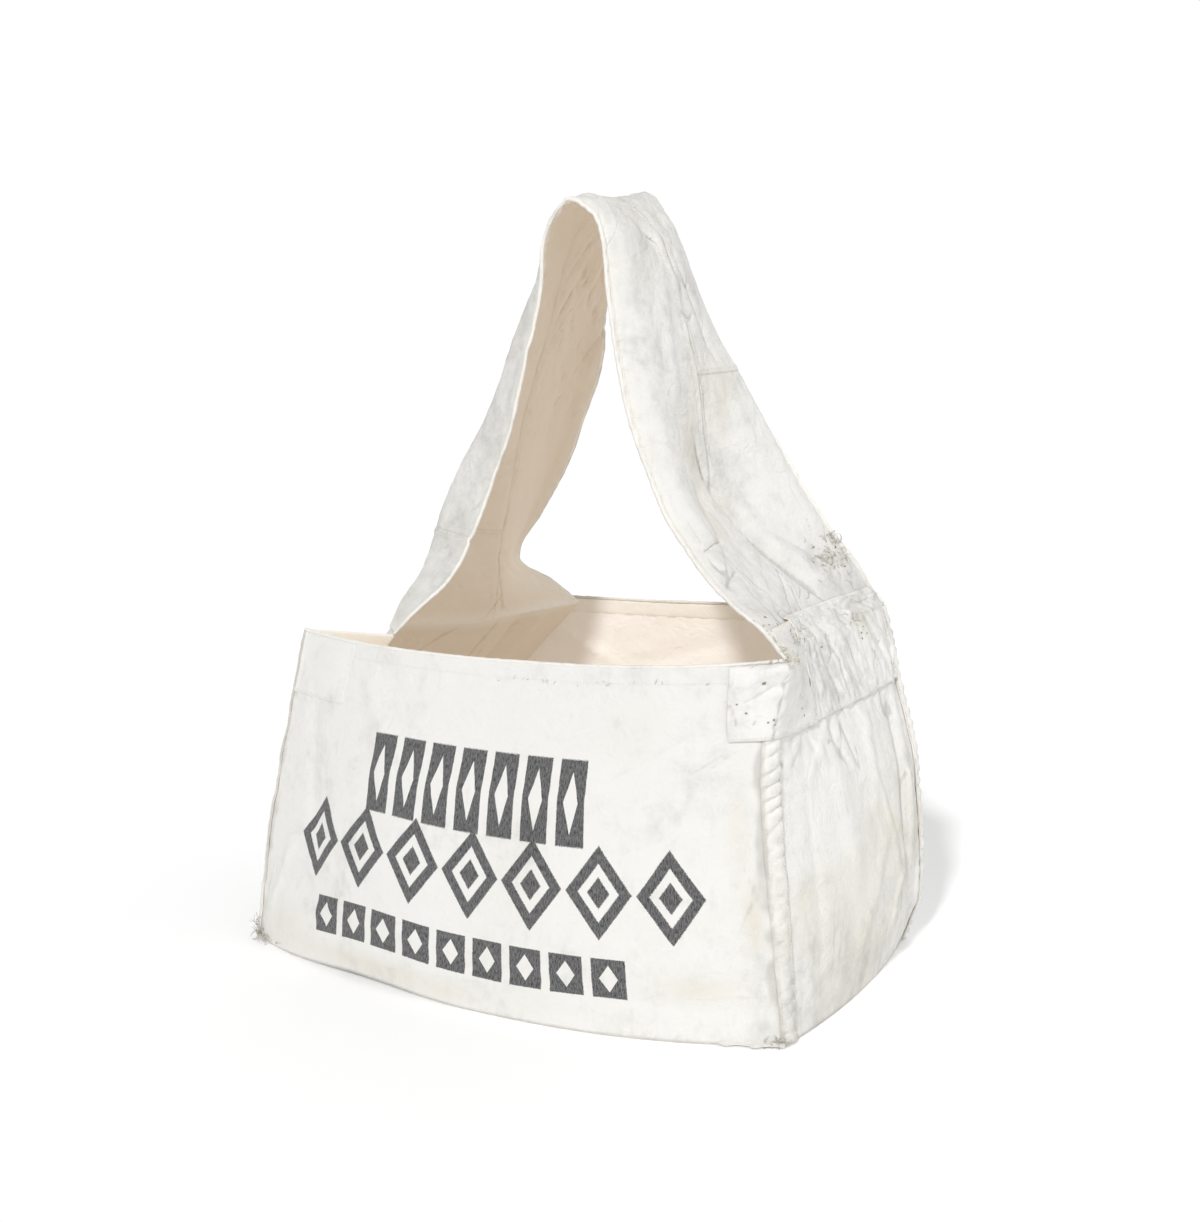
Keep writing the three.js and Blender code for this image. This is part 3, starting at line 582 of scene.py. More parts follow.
def left_folds(s, v):
    y, z = s * LEFT_PART, v * PANEL_HEIGHT
    ends = np.minimum(s, 4 - s) * LEFT_PART
    rise = 0.003 * layered(y / 0.1, z / 0.18, 71, 2) + 0.0022 * crumple(y, z, 0.07, 72, 80, 2.0)
    rise += 0.0008 * crumple(y, z, 0.025, 73, 60, 1.5)
    rise += 0.004 * np.exp(-((s - 2.35) / 0.08) ** 2) * smooth((v - 0.4) / 0.4)
    rise -= 0.003 * np.exp(-((s - 2.55) / 0.07) ** 2) * smooth((v - 0.4) / 0.4)
    margins = np.clip(np.minimum(s, 4 - s), 0, 1)
    rise = rise * fade(ends, 0.02) * fade(z) * np.where(margins < 1, 0.35, 1.0)
    return rise * fade((1 - v) * PANEL_HEIGHT, 0.02)


def floor_folds(u, w):
    x, y = u * BAG_WIDTH, w * BAG_DEPTH
    ends = np.minimum(np.minimum(x, BAG_WIDTH - x), np.minimum(y, BAG_DEPTH - y))
    return 0.0006 * (layered(x / 0.12, y / 0.1, 81, 2) - 1) * fade(ends, 0.02)


shares = np.linspace(0, 1, 50)
highest = float(np.abs(front_folds(shares[None], shares[:, None])).max())
print("front folds up to", round(highest * 1000, 1), "mm")

# %% [markdown]
# ## Materials as node trees
# Three effects come back on every cloth of this bag, so each is a node group: the plain weave,
# the grey weathering that sits on raised folds and in handled places together with painted shade in
# the low folds, and soft brown stains.
# The groups give masks and heights only. Each material mixes them in its own amounts.

# %% Small helpers for node trees
def node(tree, kind, inputs=None, **settings):
    n = tree.nodes.new(kind)
    for key, value in settings.items():
        setattr(n, key, value)
    for key, value in (inputs or {}).items():
        socket = n.inputs[key]
        if isinstance(value, bpy.types.NodeSocket):
            tree.links.new(value, socket)
        else:
            socket.default_value = value
    return n


def maths(tree, operation, *values):
    return node(tree, "ShaderNodeMath", dict(enumerate(values)), operation=operation).outputs[0]


def times(tree, a, b):
    return maths(tree, "MULTIPLY", a, b)


def plus(tree, a, b):
    return maths(tree, "ADD", a, b)


def minus(tree, a, b):
    return maths(tree, "SUBTRACT", a, b)


def ramp(tree, value, low, high):
    """0 below low, 1 above high, soft between."""
    inputs = {"Value": value, "From Min": low, "From Max": high, "To Min": 0.0, "To Max": 1.0}
    return node(tree, "ShaderNodeMapRange", inputs, interpolation_type="SMOOTHSTEP").outputs[0]


def blend_colors(tree, amount, a, b, mode="MIX"):
    n = node(tree, "ShaderNodeMix", data_type="RGBA", blend_type=mode)
    for socket, value in ((n.inputs[0], amount), (n.inputs[6], a), (n.inputs[7], b)):
        if isinstance(value, bpy.types.NodeSocket):
            tree.links.new(value, socket)
        else:
            socket.default_value = value
    return n.outputs[2]


def grain(tree, vector, scale, detail=3.0, rough=0.55, twist=0.0):
    inputs = {"Vector": vector, "Scale": scale, "Detail": detail, "Roughness": rough, "Distortion": twist}
    return node(tree, "ShaderNodeTexNoise", inputs).outputs[0]


def attribute(tree, name):
    return node(tree, "ShaderNodeAttribute", attribute_name=name).outputs["Fac"]


def place_of(tree):
    return node(tree, "ShaderNodeTexCoord").outputs["Object"]


def cloth_map(tree):
    """The place on the flat cloth, in metres."""
    return node(tree, "ShaderNodeUVMap", uv_map="cloth").outputs[0]


def stretched(tree, vector, scale):
    return node(tree, "ShaderNodeMapping", {"Vector": vector, "Scale": scale}).outputs[0]


def new_group(name, inputs, outputs):
    tree = bpy.data.node_groups.new(name, "ShaderNodeTree")
    for socket, value in inputs.items():
        tree.interface.new_socket(socket, in_out="INPUT", socket_type="NodeSocketFloat").default_value = value
    for socket in outputs:
        tree.interface.new_socket(socket, in_out="OUTPUT", socket_type="NodeSocketFloat")
    return tree, node(tree, "NodeGroupInput"), node(tree, "NodeGroupOutput")


def group(tree, which, **inputs):
    n = node(tree, "ShaderNodeGroup")
    n.node_tree = which
    for key, value in inputs.items():
        n.inputs[key.replace("_", " ")].default_value = value
    return n


def new_material(name, **constants):
    """A material with one plain shader, whose constant inputs are given by name."""
    m = bpy.data.materials.new(name)
    m.use_nodes = True
    shader = m.node_tree.nodes["Principled BSDF"]
    for key, value in constants.items():
        shader.inputs[key.replace("_", " ")].default_value = value
    materials[name] = m
    return m.node_tree, shader


def two_tone(name, dark, pale, scale, rough):
    """A plain finish that changes between two colours from place to place."""
    tree, shader = new_material(name, Roughness=rough)
    tone = grain(tree, place_of(tree), scale, 2.0)
    tree.links.new(blend_colors(tree, tone, dark, pale), shader.inputs["Base Color"])


# %% Group: plain weave of heavy yarns
weave, weave_in, weave_out = new_group("canvas_weave", {"Yarns per metre": 950.0}, ["Height", "Slub"])
parts = node(weave, "ShaderNodeSeparateXYZ", {"Vector": cloth_map(weave)})
across = times(weave, parts.outputs[0], weave_in.outputs[0])
along = times(weave, parts.outputs[1], weave_in.outputs[0])
warp, weft = (maths(weave, "ABSOLUTE", maths(weave, "SINE", times(weave, way, math.pi)))
              for way in (across, along))
squares = plus(weave, maths(weave, "FLOOR", across), maths(weave, "FLOOR", along))
odd = maths(weave, "PINGPONG", squares, 1.0)
over = plus(weave, times(weave, warp, odd), times(weave, weft, minus(weave, 1.0, odd)))
slub_up = node(weave, "ShaderNodeCombineXYZ", {"X": across, "Y": times(weave, along, 0.03), "Z": 0.0})
slub_over = node(weave, "ShaderNodeCombineXYZ", {"X": times(weave, across, 0.03), "Y": along, "Z": 4.0})
thick_yarns = [grain(weave, way.outputs[0], 0.5, 2.0) for way in (slub_up, slub_over)]
slub = times(weave, plus(weave, *thick_yarns), 0.5)
weave.links.new(plus(weave, over, times(weave, slub, 0.8)), weave_out.inputs["Height"])
weave.links.new(slub, weave_out.inputs["Slub"])
print("weave group with", len(weave.nodes), "nodes")

# %% Group: grey weathering and painted crease shade
wear_and_shade, wear_and_shade_in, wear_and_shade_out = new_group("grey_wear_and_crease_shade", {"Amount": 0.5, "Fold share": 0.6}, ["Grey", "Crease shade"])
place = place_of(wear_and_shade)
fold = attribute(wear_and_shade, "fold")
cloud = grain(wear_and_shade, place, 9.0, 8.0, 0.72, 0.6)
speck = grain(wear_and_shade, place, 60.0, 4.0, 0.7, 0.3)
stroke = grain(wear_and_shade, stretched(wear_and_shade, place, (1.0, 1.0, 0.32)), 42.0, 5.0, 0.65, 0.6)
high_place = times(wear_and_shade, maths(wear_and_shade, "MAXIMUM", fold, 0.0), wear_and_shade_in.outputs["Fold share"])
handled = plus(wear_and_shade, attribute(wear_and_shade, "grime"), wear_and_shade_in.outputs["Amount"])
mix = plus(wear_and_shade, times(wear_and_shade, cloud, 0.6), times(wear_and_shade, stroke, 0.4))
for part, share in ((minus(wear_and_shade, speck, 0.5), 0.35), (high_place, 0.10), (handled, 0.2)):
    mix = plus(wear_and_shade, mix, times(wear_and_shade, part, share))
wear_and_shade.links.new(ramp(wear_and_shade, mix, 0.56, 1.04), wear_and_shade_out.inputs["Grey"])
# Low places, the valleys of folds, are marked for a darker colour: painted shade in the creases.
low_place = minus(wear_and_shade, times(wear_and_shade, fold, -1.0), times(wear_and_shade, speck, 0.5))
wear_and_shade.links.new(ramp(wear_and_shade, low_place, 0.05, 1.25), wear_and_shade_out.inputs["Crease shade"])

# %% Group: soft brown stains
stain, stain_in, stain_out = new_group("brown_stain", {"Size": 5.0, "Amount": 0.4}, ["Stain"])
blotch = grain(stain, place_of(stain), 5.0, 4.0, 0.6, 1.0)
stain.links.new(stain_in.outputs["Size"], blotch.node.inputs["Scale"])
edge_of = ramp(stain, plus(stain, blotch, times(stain, attribute(stain, "grime"), 0.12)), 0.56, 0.76)
named = times(stain, attribute(stain, "spots"), times(stain, blotch, 1.3))
soft_stain = times(stain, edge_of, stain_in.outputs["Amount"])
stain.links.new(plus(stain, soft_stain, named), stain_out.inputs["Stain"])


# %% Canvas materials
def shaded(color, *shares):
    return (*(c * share for c, share in zip(color, shares)), 1)


def inked(tree, slub, print_mask):
    """How much ink each place holds: the print's mask, rubbed off the yarns and skipped in patches."""
    upright = stretched(tree, cloth_map(tree), (1.0, 0.22, 1.0))
    rubbed = ramp(tree, grain(tree, upright, 900.0, 3.0, 0.75), 0.34, 0.62)
    patchy = plus(tree, slub, times(tree, grain(tree, place_of(tree), 22.0), 0.25))
    strength = times(tree, plus(tree, times(tree, rubbed, -0.17), 0.98),
                     plus(tree, times(tree, ramp(tree, patchy, 0.30, 0.50), 0.35), 0.65))
    return times(tree, print_mask(tree), strength)


def canvas_material(name, base, grey, brown, amount, folds, stains, print_mask=None, edge_highlight=None,
                    crinkle=0.3, crease_shade=0.22, painted_glow=None):
    """amount, folds and stains say how strongly each kind of wear shows, crease_shade how much painted shade
    darkens the low folds, crinkle how crumpled the cloth is, and painted_glow is the colour of a glow
    that stands in for light bounced round inside the bag."""
    tree, shader = new_material(name, Roughness=0.92, Specular_IOR_Level=0.2, Sheen_Weight=0.15,
                                Sheen_Roughness=0.6)
    threads = group(tree, weave)
    wear_and_shade_mix = group(tree, wear_and_shade, Amount=amount, Fold_share=folds)
    stained = group(tree, stain, Amount=stains)
    slub = threads.outputs["Slub"]
    color = blend_colors(tree, times(tree, slub, 0.10), base, shaded(base, 0.9, 0.89, 0.86))
    color = blend_colors(tree, stained.outputs["Stain"], color, brown)
    color = blend_colors(tree, wear_and_shade_mix.outputs["Grey"], color, grey)
    # Low folds are blended towards a darker grey: painted shade in the creases.
    in_crease = times(tree, wear_and_shade_mix.outputs["Crease shade"], crease_shade)
    color = blend_colors(tree, in_crease, color, shaded(grey, 0.8, 0.78, 0.74))
    if print_mask is not None:
        color = blend_colors(tree, inked(tree, slub, print_mask), color, INK)
    # Near a free edge the colour turns paler cream: a painted highlight on the rounded edge.
    if edge_highlight is not None:
        color = blend_colors(tree, times(tree, attribute(tree, "edge"), 0.75), color, edge_highlight)
    tree.links.new(color, shader.inputs["Base Color"])
    # A faint glow: painted light standing in for light bounced round inside the bag.
    if painted_glow is not None:
        shader.inputs["Emission Color"].default_value = painted_glow
        shader.inputs["Emission Strength"].default_value = 1.0
    place = place_of(tree)
    soft = grain(tree, place, 130.0, 4.0, 0.6, 0.4)
    folded = maths(tree, "ABSOLUTE", minus(tree, grain(tree, place, 38.0, 3.0, 0.55, 1.2), 0.5))
    bump = node(tree, "ShaderNodeBump", {"Strength": crinkle, "Distance": 0.006, "Height": folded})
    for distance, height in ((0.0012, soft), (0.0003, threads.outputs["Height"])):
        inputs = {"Strength": 0.5, "Distance": distance, "Height": height, "Normal": bump.outputs[0]}
        bump = node(tree, "ShaderNodeBump", inputs)
    tree.links.new(bump.outputs[0], shader.inputs["Normal"])


# The paler cream of free edges is a painted highlight.
EDGE_HIGHLIGHT = (0.85, 0.825, 0.765, 1)
GREY = (0.455, 0.447, 0.422, 1)
BROWN = (0.60, 0.52, 0.38, 1)
INK = (0.022, 0.023, 0.028, 1)
canvas_material("canvas", (0.785, 0.775, 0.75, 1), GREY, BROWN, 0.16, 0.5, 0.16, crease_shade=0.42)
canvas_material("canvas_strap", (0.755, 0.748, 0.722, 1), GREY, BROWN, 0.40, 0.7, 0.20, edge_highlight=EDGE_HIGHLIGHT,
                crinkle=0.45, crease_shade=0.5)
canvas_material("canvas_gusset", (0.81, 0.803, 0.777, 1), GREY, (0.66, 0.63, 0.50, 1), 0.30, 0.7, 0.3,
                crinkle=0.45, crease_shade=0.5)
# The inside is one canvas in two copies. canvas_inside, tan, on the strap and most other pieces, is partly
# the canvas's warmer inner side and partly painted shade; canvas_inside_pale, on the front, the back and the
# hems, is the same canvas painted as lit. Both glow a little as painted bounce light.
canvas_material("canvas_inside", (0.78, 0.70, 0.60, 1), (0.60, 0.48, 0.36, 1), BROWN, 0.05, 0.4, 0.12,
                edge_highlight=EDGE_HIGHLIGHT, crinkle=0.35, crease_shade=0.6, painted_glow=(0.085, 0.07, 0.052, 1))
canvas_material("canvas_inside_pale", (0.90, 0.885, 0.865, 1), (0.70, 0.60, 0.48, 1), BROWN, 0.0, 0.3, 0.06,
                edge_highlight=EDGE_HIGHLIGHT, painted_glow=(0.150, 0.130, 0.110, 1))
# The lips' paler cream is a painted highlight on the rounded edge.
canvas_material("canvas_edge", (0.84, 0.82, 0.77, 1), GREY, BROWN, 0.2, 0.6, 0.15)
canvas_material("seam_cream", (0.80, 0.785, 0.745, 1), GREY, BROWN, 0.3, 0.8, 0.25, crease_shade=0.5)
two_tone("cotton_thread", (0.62, 0.58, 0.50, 1), (0.88, 0.85, 0.78, 1), 300.0, 0.85)
two_tone("old_yarn", (0.30, 0.285, 0.25, 1), (0.80, 0.77, 0.70, 1), 300.0, 0.85)
two_tone("hole_shadow", (0.14, 0.125, 0.105, 1), (0.36, 0.34, 0.30, 1), 500.0, 0.95)
print("materials:", sorted(materials))

# %% [markdown]
# ## The print on the front
# Delivery bags carry a big one-colour screen print. This one gets plain printer's ornament in
# three rows: upright blocks, framed diamonds and short blocks. Each row is worked out from the
# cloth's own length and width, so it bends with every fold, and the ink skips the yarns' hollows.

# %% Ornament rows as a mask
# Where a row starts, its pitch, how many there are, and the height of its middle.
TALL_ROW = (0.158, 0.0372, 7, 0.211)
WIDE_ROW = (0.066, 0.0660, 7, 0.132)
LOW_ROW = (0.103, 0.0392, 9, 0.053)


def ornament(tree):
    flat = cloth_map(tree)
    parts = node(tree, "ShaderNodeSeparateXYZ", {"Vector": flat})
    x, z = parts.outputs[0], parts.outputs[1]
    ragged = times(tree, minus(tree, grain(tree, flat, 900.0, 2.0), 0.5), 0.10)

    def shape(row, half_wide, half_high, size=1.0, square=False):
        left, pitch, count, middle = row
        inside = times(tree, maths(tree, "GREATER_THAN", x, left),
                       maths(tree, "LESS_THAN", x, left + pitch * count))
        local = minus(tree, maths(tree, "MODULO", minus(tree, x, left), pitch), pitch / 2)
        a = maths(tree, "DIVIDE", maths(tree, "ABSOLUTE", local), half_wide)
        b = maths(tree, "DIVIDE", maths(tree, "ABSOLUTE", minus(tree, z, middle)), half_high)
        reach = plus(tree, maths(tree, "MAXIMUM", a, b) if square else plus(tree, a, b), ragged)
        return times(tree, inside, minus(tree, 1.0, ramp(tree, reach, size - 0.02, size + 0.02)))

    def cut_out(whole, hole):
        return times(tree, whole, minus(tree, 1.0, hole))

    blocks = cut_out(shape(TALL_ROW, 0.0140, 0.0400, square=True), shape(TALL_ROW, 0.0075, 0.0290))
    frames = cut_out(shape(WIDE_ROW, 0.0310, 0.0430), shape(WIDE_ROW, 0.0310, 0.0430, 0.62))
    hearts = shape(WIDE_ROW, 0.0310, 0.0430, 0.34)
    shorts = cut_out(shape(LOW_ROW, 0.0155, 0.0190, square=True), shape(LOW_ROW, 0.0085, 0.0130))
    total = plus(tree, plus(tree, blocks, frames), plus(tree, hearts, shorts))
    return maths(tree, "MINIMUM", total, 1.0)


canvas_material("canvas_printed", (0.77, 0.76, 0.733, 1), GREY, BROWN, 0.22, 0.5, 0.10, print_mask=ornament,
                crease_shade=0.42)

# %% [markdown]
# ## The five walls
# The outside walls come first, because hems, patches and corner seams lie on them. Grime is
# strongest where the bag has stood on streets and rubbed against a leg: low edges and corners.

# %% Grids, stains and dark seam lines
def spaced(a, b, step):
    return np.linspace(a, b, max(2, int(round(abs(b - a) / step)) + 1))


def pair(us, vs):
    return np.meshgrid(us, vs)


def spot(x, y, cx, cy, wide, high, strength):
    return strength * np.exp(-((x - cx) / wide) ** 2 - ((y - cy) / high) ** 2)


def seam_dirt_and_shade(dist, along, seed, reach=0.006):
    """A dark line in the pinch beside a seam, in patches along it: partly dirt, partly painted shade."""
    return np.exp(-(dist / reach) ** 2) * (0.55 + 0.75 * layered(along / 0.03, 0.5, seed, 2))


def spotted(x, y, rows):
    return sum(spot(x, y, *row) for row in rows)


def marked(x, y, folds, amount):
    """Dark lines along the listed folds, partly dirt and partly painted shade in the folds: (cx, cy, turn,
    length, width).
    """
    return sum(amount * crease(x, y, *fold, 1.0) for fold in folds)


# %% Where the walls are marked
# Dark folds, partly dirt and partly painted shade in the folds: place, turn, length, width.
FRONT_MARKS = (
    (0.55, 0.254, 28, 0.075, 0.0020), (0.573, 0.262, 34, 0.05, 0.0016), (0.565, 0.043, 3, 0.085, 0.0024),
    (0.585, 0.118, 62, 0.05, 0.0018), (0.592, 0.150, 110, 0.05, 0.0018), (0.572, 0.083, 48, 0.04, 0.0016),
    (0.575, 0.21, 40, 0.05, 0.0014), (0.02, 0.2, 98, 0.06, 0.0016), (0.014, 0.07, 84, 0.05, 0.0018))
RIGHT_MARKS = (
    (0.083, 0.085, 86, 0.06, 0.0018), (0.088, 0.07, 88, 0.07, 0.0014), (0.093, 0.05, 92, 0.05, 0.0016),
    (0.080, 0.055, 84, 0.05, 0.0012))
LEFT_MARKS = (
    (0.182, 0.31, 82, 0.12, 0.0020), (0.170, 0.27, 70, 0.08, 0.0016), (0.196, 0.29, 104, 0.09, 0.0014),
    (0.15, 0.33, 60, 0.06, 0.0014))
# Stains: place, half width, half height, strength.
FRONT_STAINS = (
    (0.545, 0.05, 0.035, 0.014, 0.5), (0.592, 0.11, 0.008, 0.03, 0.45), (0.05, 0.03, 0.04, 0.02, 0.4),
    (0.48, 0.29, 0.03, 0.03, 0.16), (0.585, 0.2, 0.012, 0.05, 0.3), (0.2, 0.012, 0.12, 0.012, 0.4))
RIGHT_STAINS = (
    (0.04, 0.13, 0.014, 0.014, 0.4), (0.24, 0.13, 0.05, 0.10, 0.42), (0.17, 0.05, 0.08, 0.03, 0.35))

# %% The front and the back
# How fine each cloth's grid is, across and up, as shares of the wall.
PACE = {"front": (0.0052, 0.009), "back": (0.0066, 0.0115), "right": (0.0190, 0.0085),
        "left": (0.024, 0.0075), "floor": (0.0100, 0.0180), "strap": (0.018, 0.045)}


def wall_grid(wall, first=0, last=1):
    across, up = PACE[wall]
    return pair(spaced(first, last, across), spaced(0, 1, up))


u, v = wall_grid("front")
x, z = u * BAG_WIDTH, v * PANEL_HEIGHT
right_gap, left_gap = (1 - u) * BAG_WIDTH - 0.006, x - 0.004
lines = 2.4 * seam_dirt_and_shade(right_gap, z, 311) * smooth((0.85 - v) / 0.1) + 1.8 * seam_dirt_and_shade(left_gap, z, 312)
low = np.exp(-z / 0.035) * (0.5 + 0.5 * noise(u * 9, v * 3, 301))
ends = np.exp(-np.minimum(u, 1 - u) * BAG_WIDTH / 0.03) * smooth(1 - v)
cloth("front_cloth", long_wall("front", u, v), 1, CANVAS, front_folds(u, v),
      0.15 + 0.5 * low + 0.4 * ends + 0.25 * smooth((v - 0.93) / 0.05),
      inside="canvas_inside_pale", outside="canvas_printed", free=TOP_FREE,
      lines=lines + marked(x, z, FRONT_MARKS, 0.75), spots=spotted(x, z, FRONT_STAINS))
u, v = wall_grid("back")
low = np.exp(-v * PANEL_HEIGHT / 0.05)
cloth("back_cloth", long_wall("back", u, v), -1, CANVAS, back_folds(u, v),
      0.25 + 0.6 * low + 0.2 * smooth((v - 0.9) / 0.1), inside="canvas_inside_pale", free=TOP_FREE)
print([(piece.name, len(piece.data.polygons)) for piece in made])

# %% The end walls and the bottom
u, v = wall_grid("right", -1)
y, z = (u + 1) * HALF_D, v * PANEL_HEIGHT
lines = 1.1 * pinches(y, z, 0.03, 321, 84, 3.4) * smooth((v - 0.45) / 0.3)
lines = lines + 1.0 * pinches(y, z, 0.045, 323, 80, 3.2) * smooth((u + 0.1) / 0.5)
grime = 0.25 + 0.55 * np.exp(-z / 0.09) + 0.35 * smooth((u - 0.5) / 0.4)
grime = grime + 0.3 * np.exp(-(1 - np.abs(u)) * 12) + 0.15 * smooth((v - 0.74) / 0.08)
cloth("right_gusset_cloth", right_wall(u, v), 1, CANVAS, right_folds(u, v), grime, outside="canvas_gusset",
      spots=spotted(y, z, RIGHT_STAINS), lines=1.1 * (lines + marked(y, z, RIGHT_MARKS, 0.9)))
s, v = wall_grid("left", 0, 4)
y, z = s * LEFT_PART, v * PANEL_HEIGHT
cloth("left_gusset_cloth", left_wall(s, v), -1, CANVAS, left_folds(s, v), 0.3 + 0.5 * np.exp(-z / 0.09),
      outside="canvas_gusset", free=TOP_FREE, lines=marked(y, z, LEFT_MARKS, -1.2))
u, w = wall_grid("floor")
cloth("floor_cloth", floor_wall(u, w), -1, CANVAS, floor_folds(u, w), 0.75 + 0 * u, outside="canvas_gusset")
for piece in made:
    print(piece.name, len(piece.data.polygons), "faces")

# %% [markdown]
# ## The strap
# The strap is doubled canvas in a front and a back half. Where it turns over the top its edges
# roll inward, and years on a shoulder have crumpled it from end to end.

# %% Strap folds
STRAP_CLOTH = 0.11  # flat width of half the strap, which its folds are measured in
STATION_RUN = 0.047  # way along the strap from one station to the next
# Pinched lines, drawn darker partly as dirt and partly as painted shade in the pinch: station, share across,
# turn, length, width, strength. A minus sign puts the dark line inside.
PINCHED = ((3.9, 0.06, 101, 0.30, 0.0040, 1.0), (1.6, -0.30, 112, 0.12, 0.0022, 1.0),
           (12.5, -0.62, 128, 0.10, 0.0016, 1.0), (11.8, -0.28, 118, 0.13, 0.0016, 1.0),
           (9.6, 0.3, 100, 0.14, 0.0016, 1.0), (7.9, 0.02, 96, 0.12, 0.0014, 1.0),
           (2.6, -0.72, 20, 0.05, 0.0030, 0.35), (3.6, -0.66, 15, 0.05, 0.0030, 0.35),
           (24.4, 0.05, 86, 0.16, 0.0018, -1.0), (22.2, 0.02, 92, 0.12, 0.0012, -1.0),
           (25.6, -0.05, 108, 0.10, 0.0014, -1.0), (25.8, 0.16, 70, 0.09, 0.0012, -1.0),
           (17.2, 0.30, 66, 0.14, 0.0050, -0.3), (16.2, 0.62, 46, 0.10, 0.0045, -0.3),
           (16.9, 0.48, 54, 0.12, 0.0045, -0.3), (15.4, 0.4, 74, 0.10, 0.0040, -0.3))


def strap_flat(at, u):
    return u * STRAP_CLOTH, at * STATION_RUN


def strap_pinches(at, u):
    x, y = strap_flat(at, u)
    foot, bend = np.exp(-((at - 1.6) / 1.6) ** 2), np.exp(-((at - 12.0) / 2.2) ** 2)
    marks = pinches(x, y, 0.034, 301, 72, 3.0) * (0.3 + 1.1 * foot + 1.3 * bend)
    marks += pinches(x, y, 0.020, 303, 108, 2.6) * (foot + 0.5 * bend)
    for a0, u0, *fold in PINCHED:
        marks += crease(x, y, *strap_flat(a0, u0), *fold)
    marks -= 0.25 * pinches(x, y, 0.024, 313, 40, 3.0) * np.exp(-((at - 17.2) / 1.8) ** 2) * smooth(u * 4)
    return np.clip(marks, -1.2, 1.2)


def strap_folds(at, u):
    x, y = strap_flat(at, u)
    far = np.minimum(smooth((at - 0.2) / 1.6), smooth((LAST_STATION - at) / 1.6))
    rise = 0.0026 * layered(x / 0.07, y / 0.11, 91, 2) + 0.0016 * crumple(x, y, 0.05, 92, 78, 2.4)
    rise += 0.0004 * crumple(x, y, 0.02, 93, 35, 1.5)
    rise += 0.0020 * crumple(x, y, 0.020, 94, 62, 3.0) * np.exp(-((at - 12.6) / 2.0) ** 2)
    rise -= 0.0009 * strap_pinches(at, u)
    shoulder = np.exp(-((at - 16.4) / 2.6) ** 2) * smooth(u / 0.3 + 0.4)
    rise += 0.0044 * crumple(x, y, 0.022, 99, 118, 2.8) * shoulder
    rise += 0.0012 * crumple(x, y, 0.018, 95, 100, 2.4) * np.exp(-((at - 2.4) / 2.2) ** 2)
    for a0, u0, *fold in (
            (3.9, 0.06, 101, 0.30, 0.0065, -0.0080), (3.9, 0.22, 101, 0.28, 0.0110, 0.0050),
            (3.6, -0.12, 100, 0.26, 0.0120, 0.0055), (1.6, -0.30, 112, 0.12, 0.0050, -0.0040),
            (12.5, -0.62, 128, 0.10, 0.0050, -0.0036), (11.8, -0.28, 118, 0.13, 0.0045, -0.0036),
            (10.6, 0.02, 108, 0.16, 0.0055, 0.0034), (9.6, 0.3, 100, 0.14, 0.0050, -0.0034),
            (2.6, -0.72, 20, 0.05, 0.0050, -0.0030), (3.6, -0.66, 15, 0.05, 0.0050, -0.0026),
            (3.0, 0.42, 118, 0.14, 0.006, -0.003), (8.6, -0.35, 80, 0.16, 0.009, 0.0022),
            (10.4, 0.1, 60, 0.1, 0.007, 0.0026), (11.2, -0.2, 105, 0.12, 0.008, -0.0024),
            (2.2, -0.35, 60, 0.13, 0.007, 0.0024), (4.2, -0.45, 75, 0.16, 0.008, -0.002),
            (12.6, 0.45, 20, 0.08, 0.006, 0.0022), (17.4, -0.4, 84, 0.2, 0.008, 0.003),
            (20.2, -0.55, 95, 0.18, 0.009, 0.0028), (22.4, -0.42, 80, 0.14, 0.007, -0.0028),
            (18.2, 0.5, 86, 0.2, 0.009, 0.0022), (23.6, 0.3, 50, 0.12, 0.008, 0.0026)):
        rise += crease(x, y, *strap_flat(a0, u0), *fold)
    seam = np.abs(x)
    rise += 0.0008 * np.exp(-(seam / 0.0045) ** 2) - 0.0005 * np.exp(-((seam - 0.0065) / 0.002) ** 2)
    rise += puckers(seam - 0.005, y, 0.017, 0.0008, 0.010, 96) * (seam > 0.005)
    for split, half in ((RIGHT_SPLIT, u > 0), (LEFT_SPLIT, u < 0)):
        past = (at - split) * STATION_RUN
        rise += 0.0013 * np.exp(-((past - 0.004) / 0.0035) ** 2) * half
        rise += puckers(np.abs(past) - 0.006, x, 0.013, 0.001, 0.014, 98) * half * (np.abs(past) > 0.006)
    edge = (1 - np.abs(u)) * STRAP_CLOTH
    rise += puckers(edge, y, 0.02, 0.0009, 0.016, 97)
    rise += 0.0008 * np.exp(-(edge / 0.005) ** 2) - 0.0007 * np.exp(-((edge - 0.008) / 0.0025) ** 2)
    return rise * far


# %% The strap's four pieces
def strap_grime(at, u):
    handled = 0.35 + 0.35 * np.exp(-((at - 13) / 3.5) ** 2)
    handled = handled + 0.25 * smooth((at - 15) / 2) * smooth((26 - at) / 2)
    return handled + 0.3 * np.exp(-(1 - np.abs(u)) * 9) * smooth((at - 14) / 2) + 0.2 * smooth((3 - at) / 2)


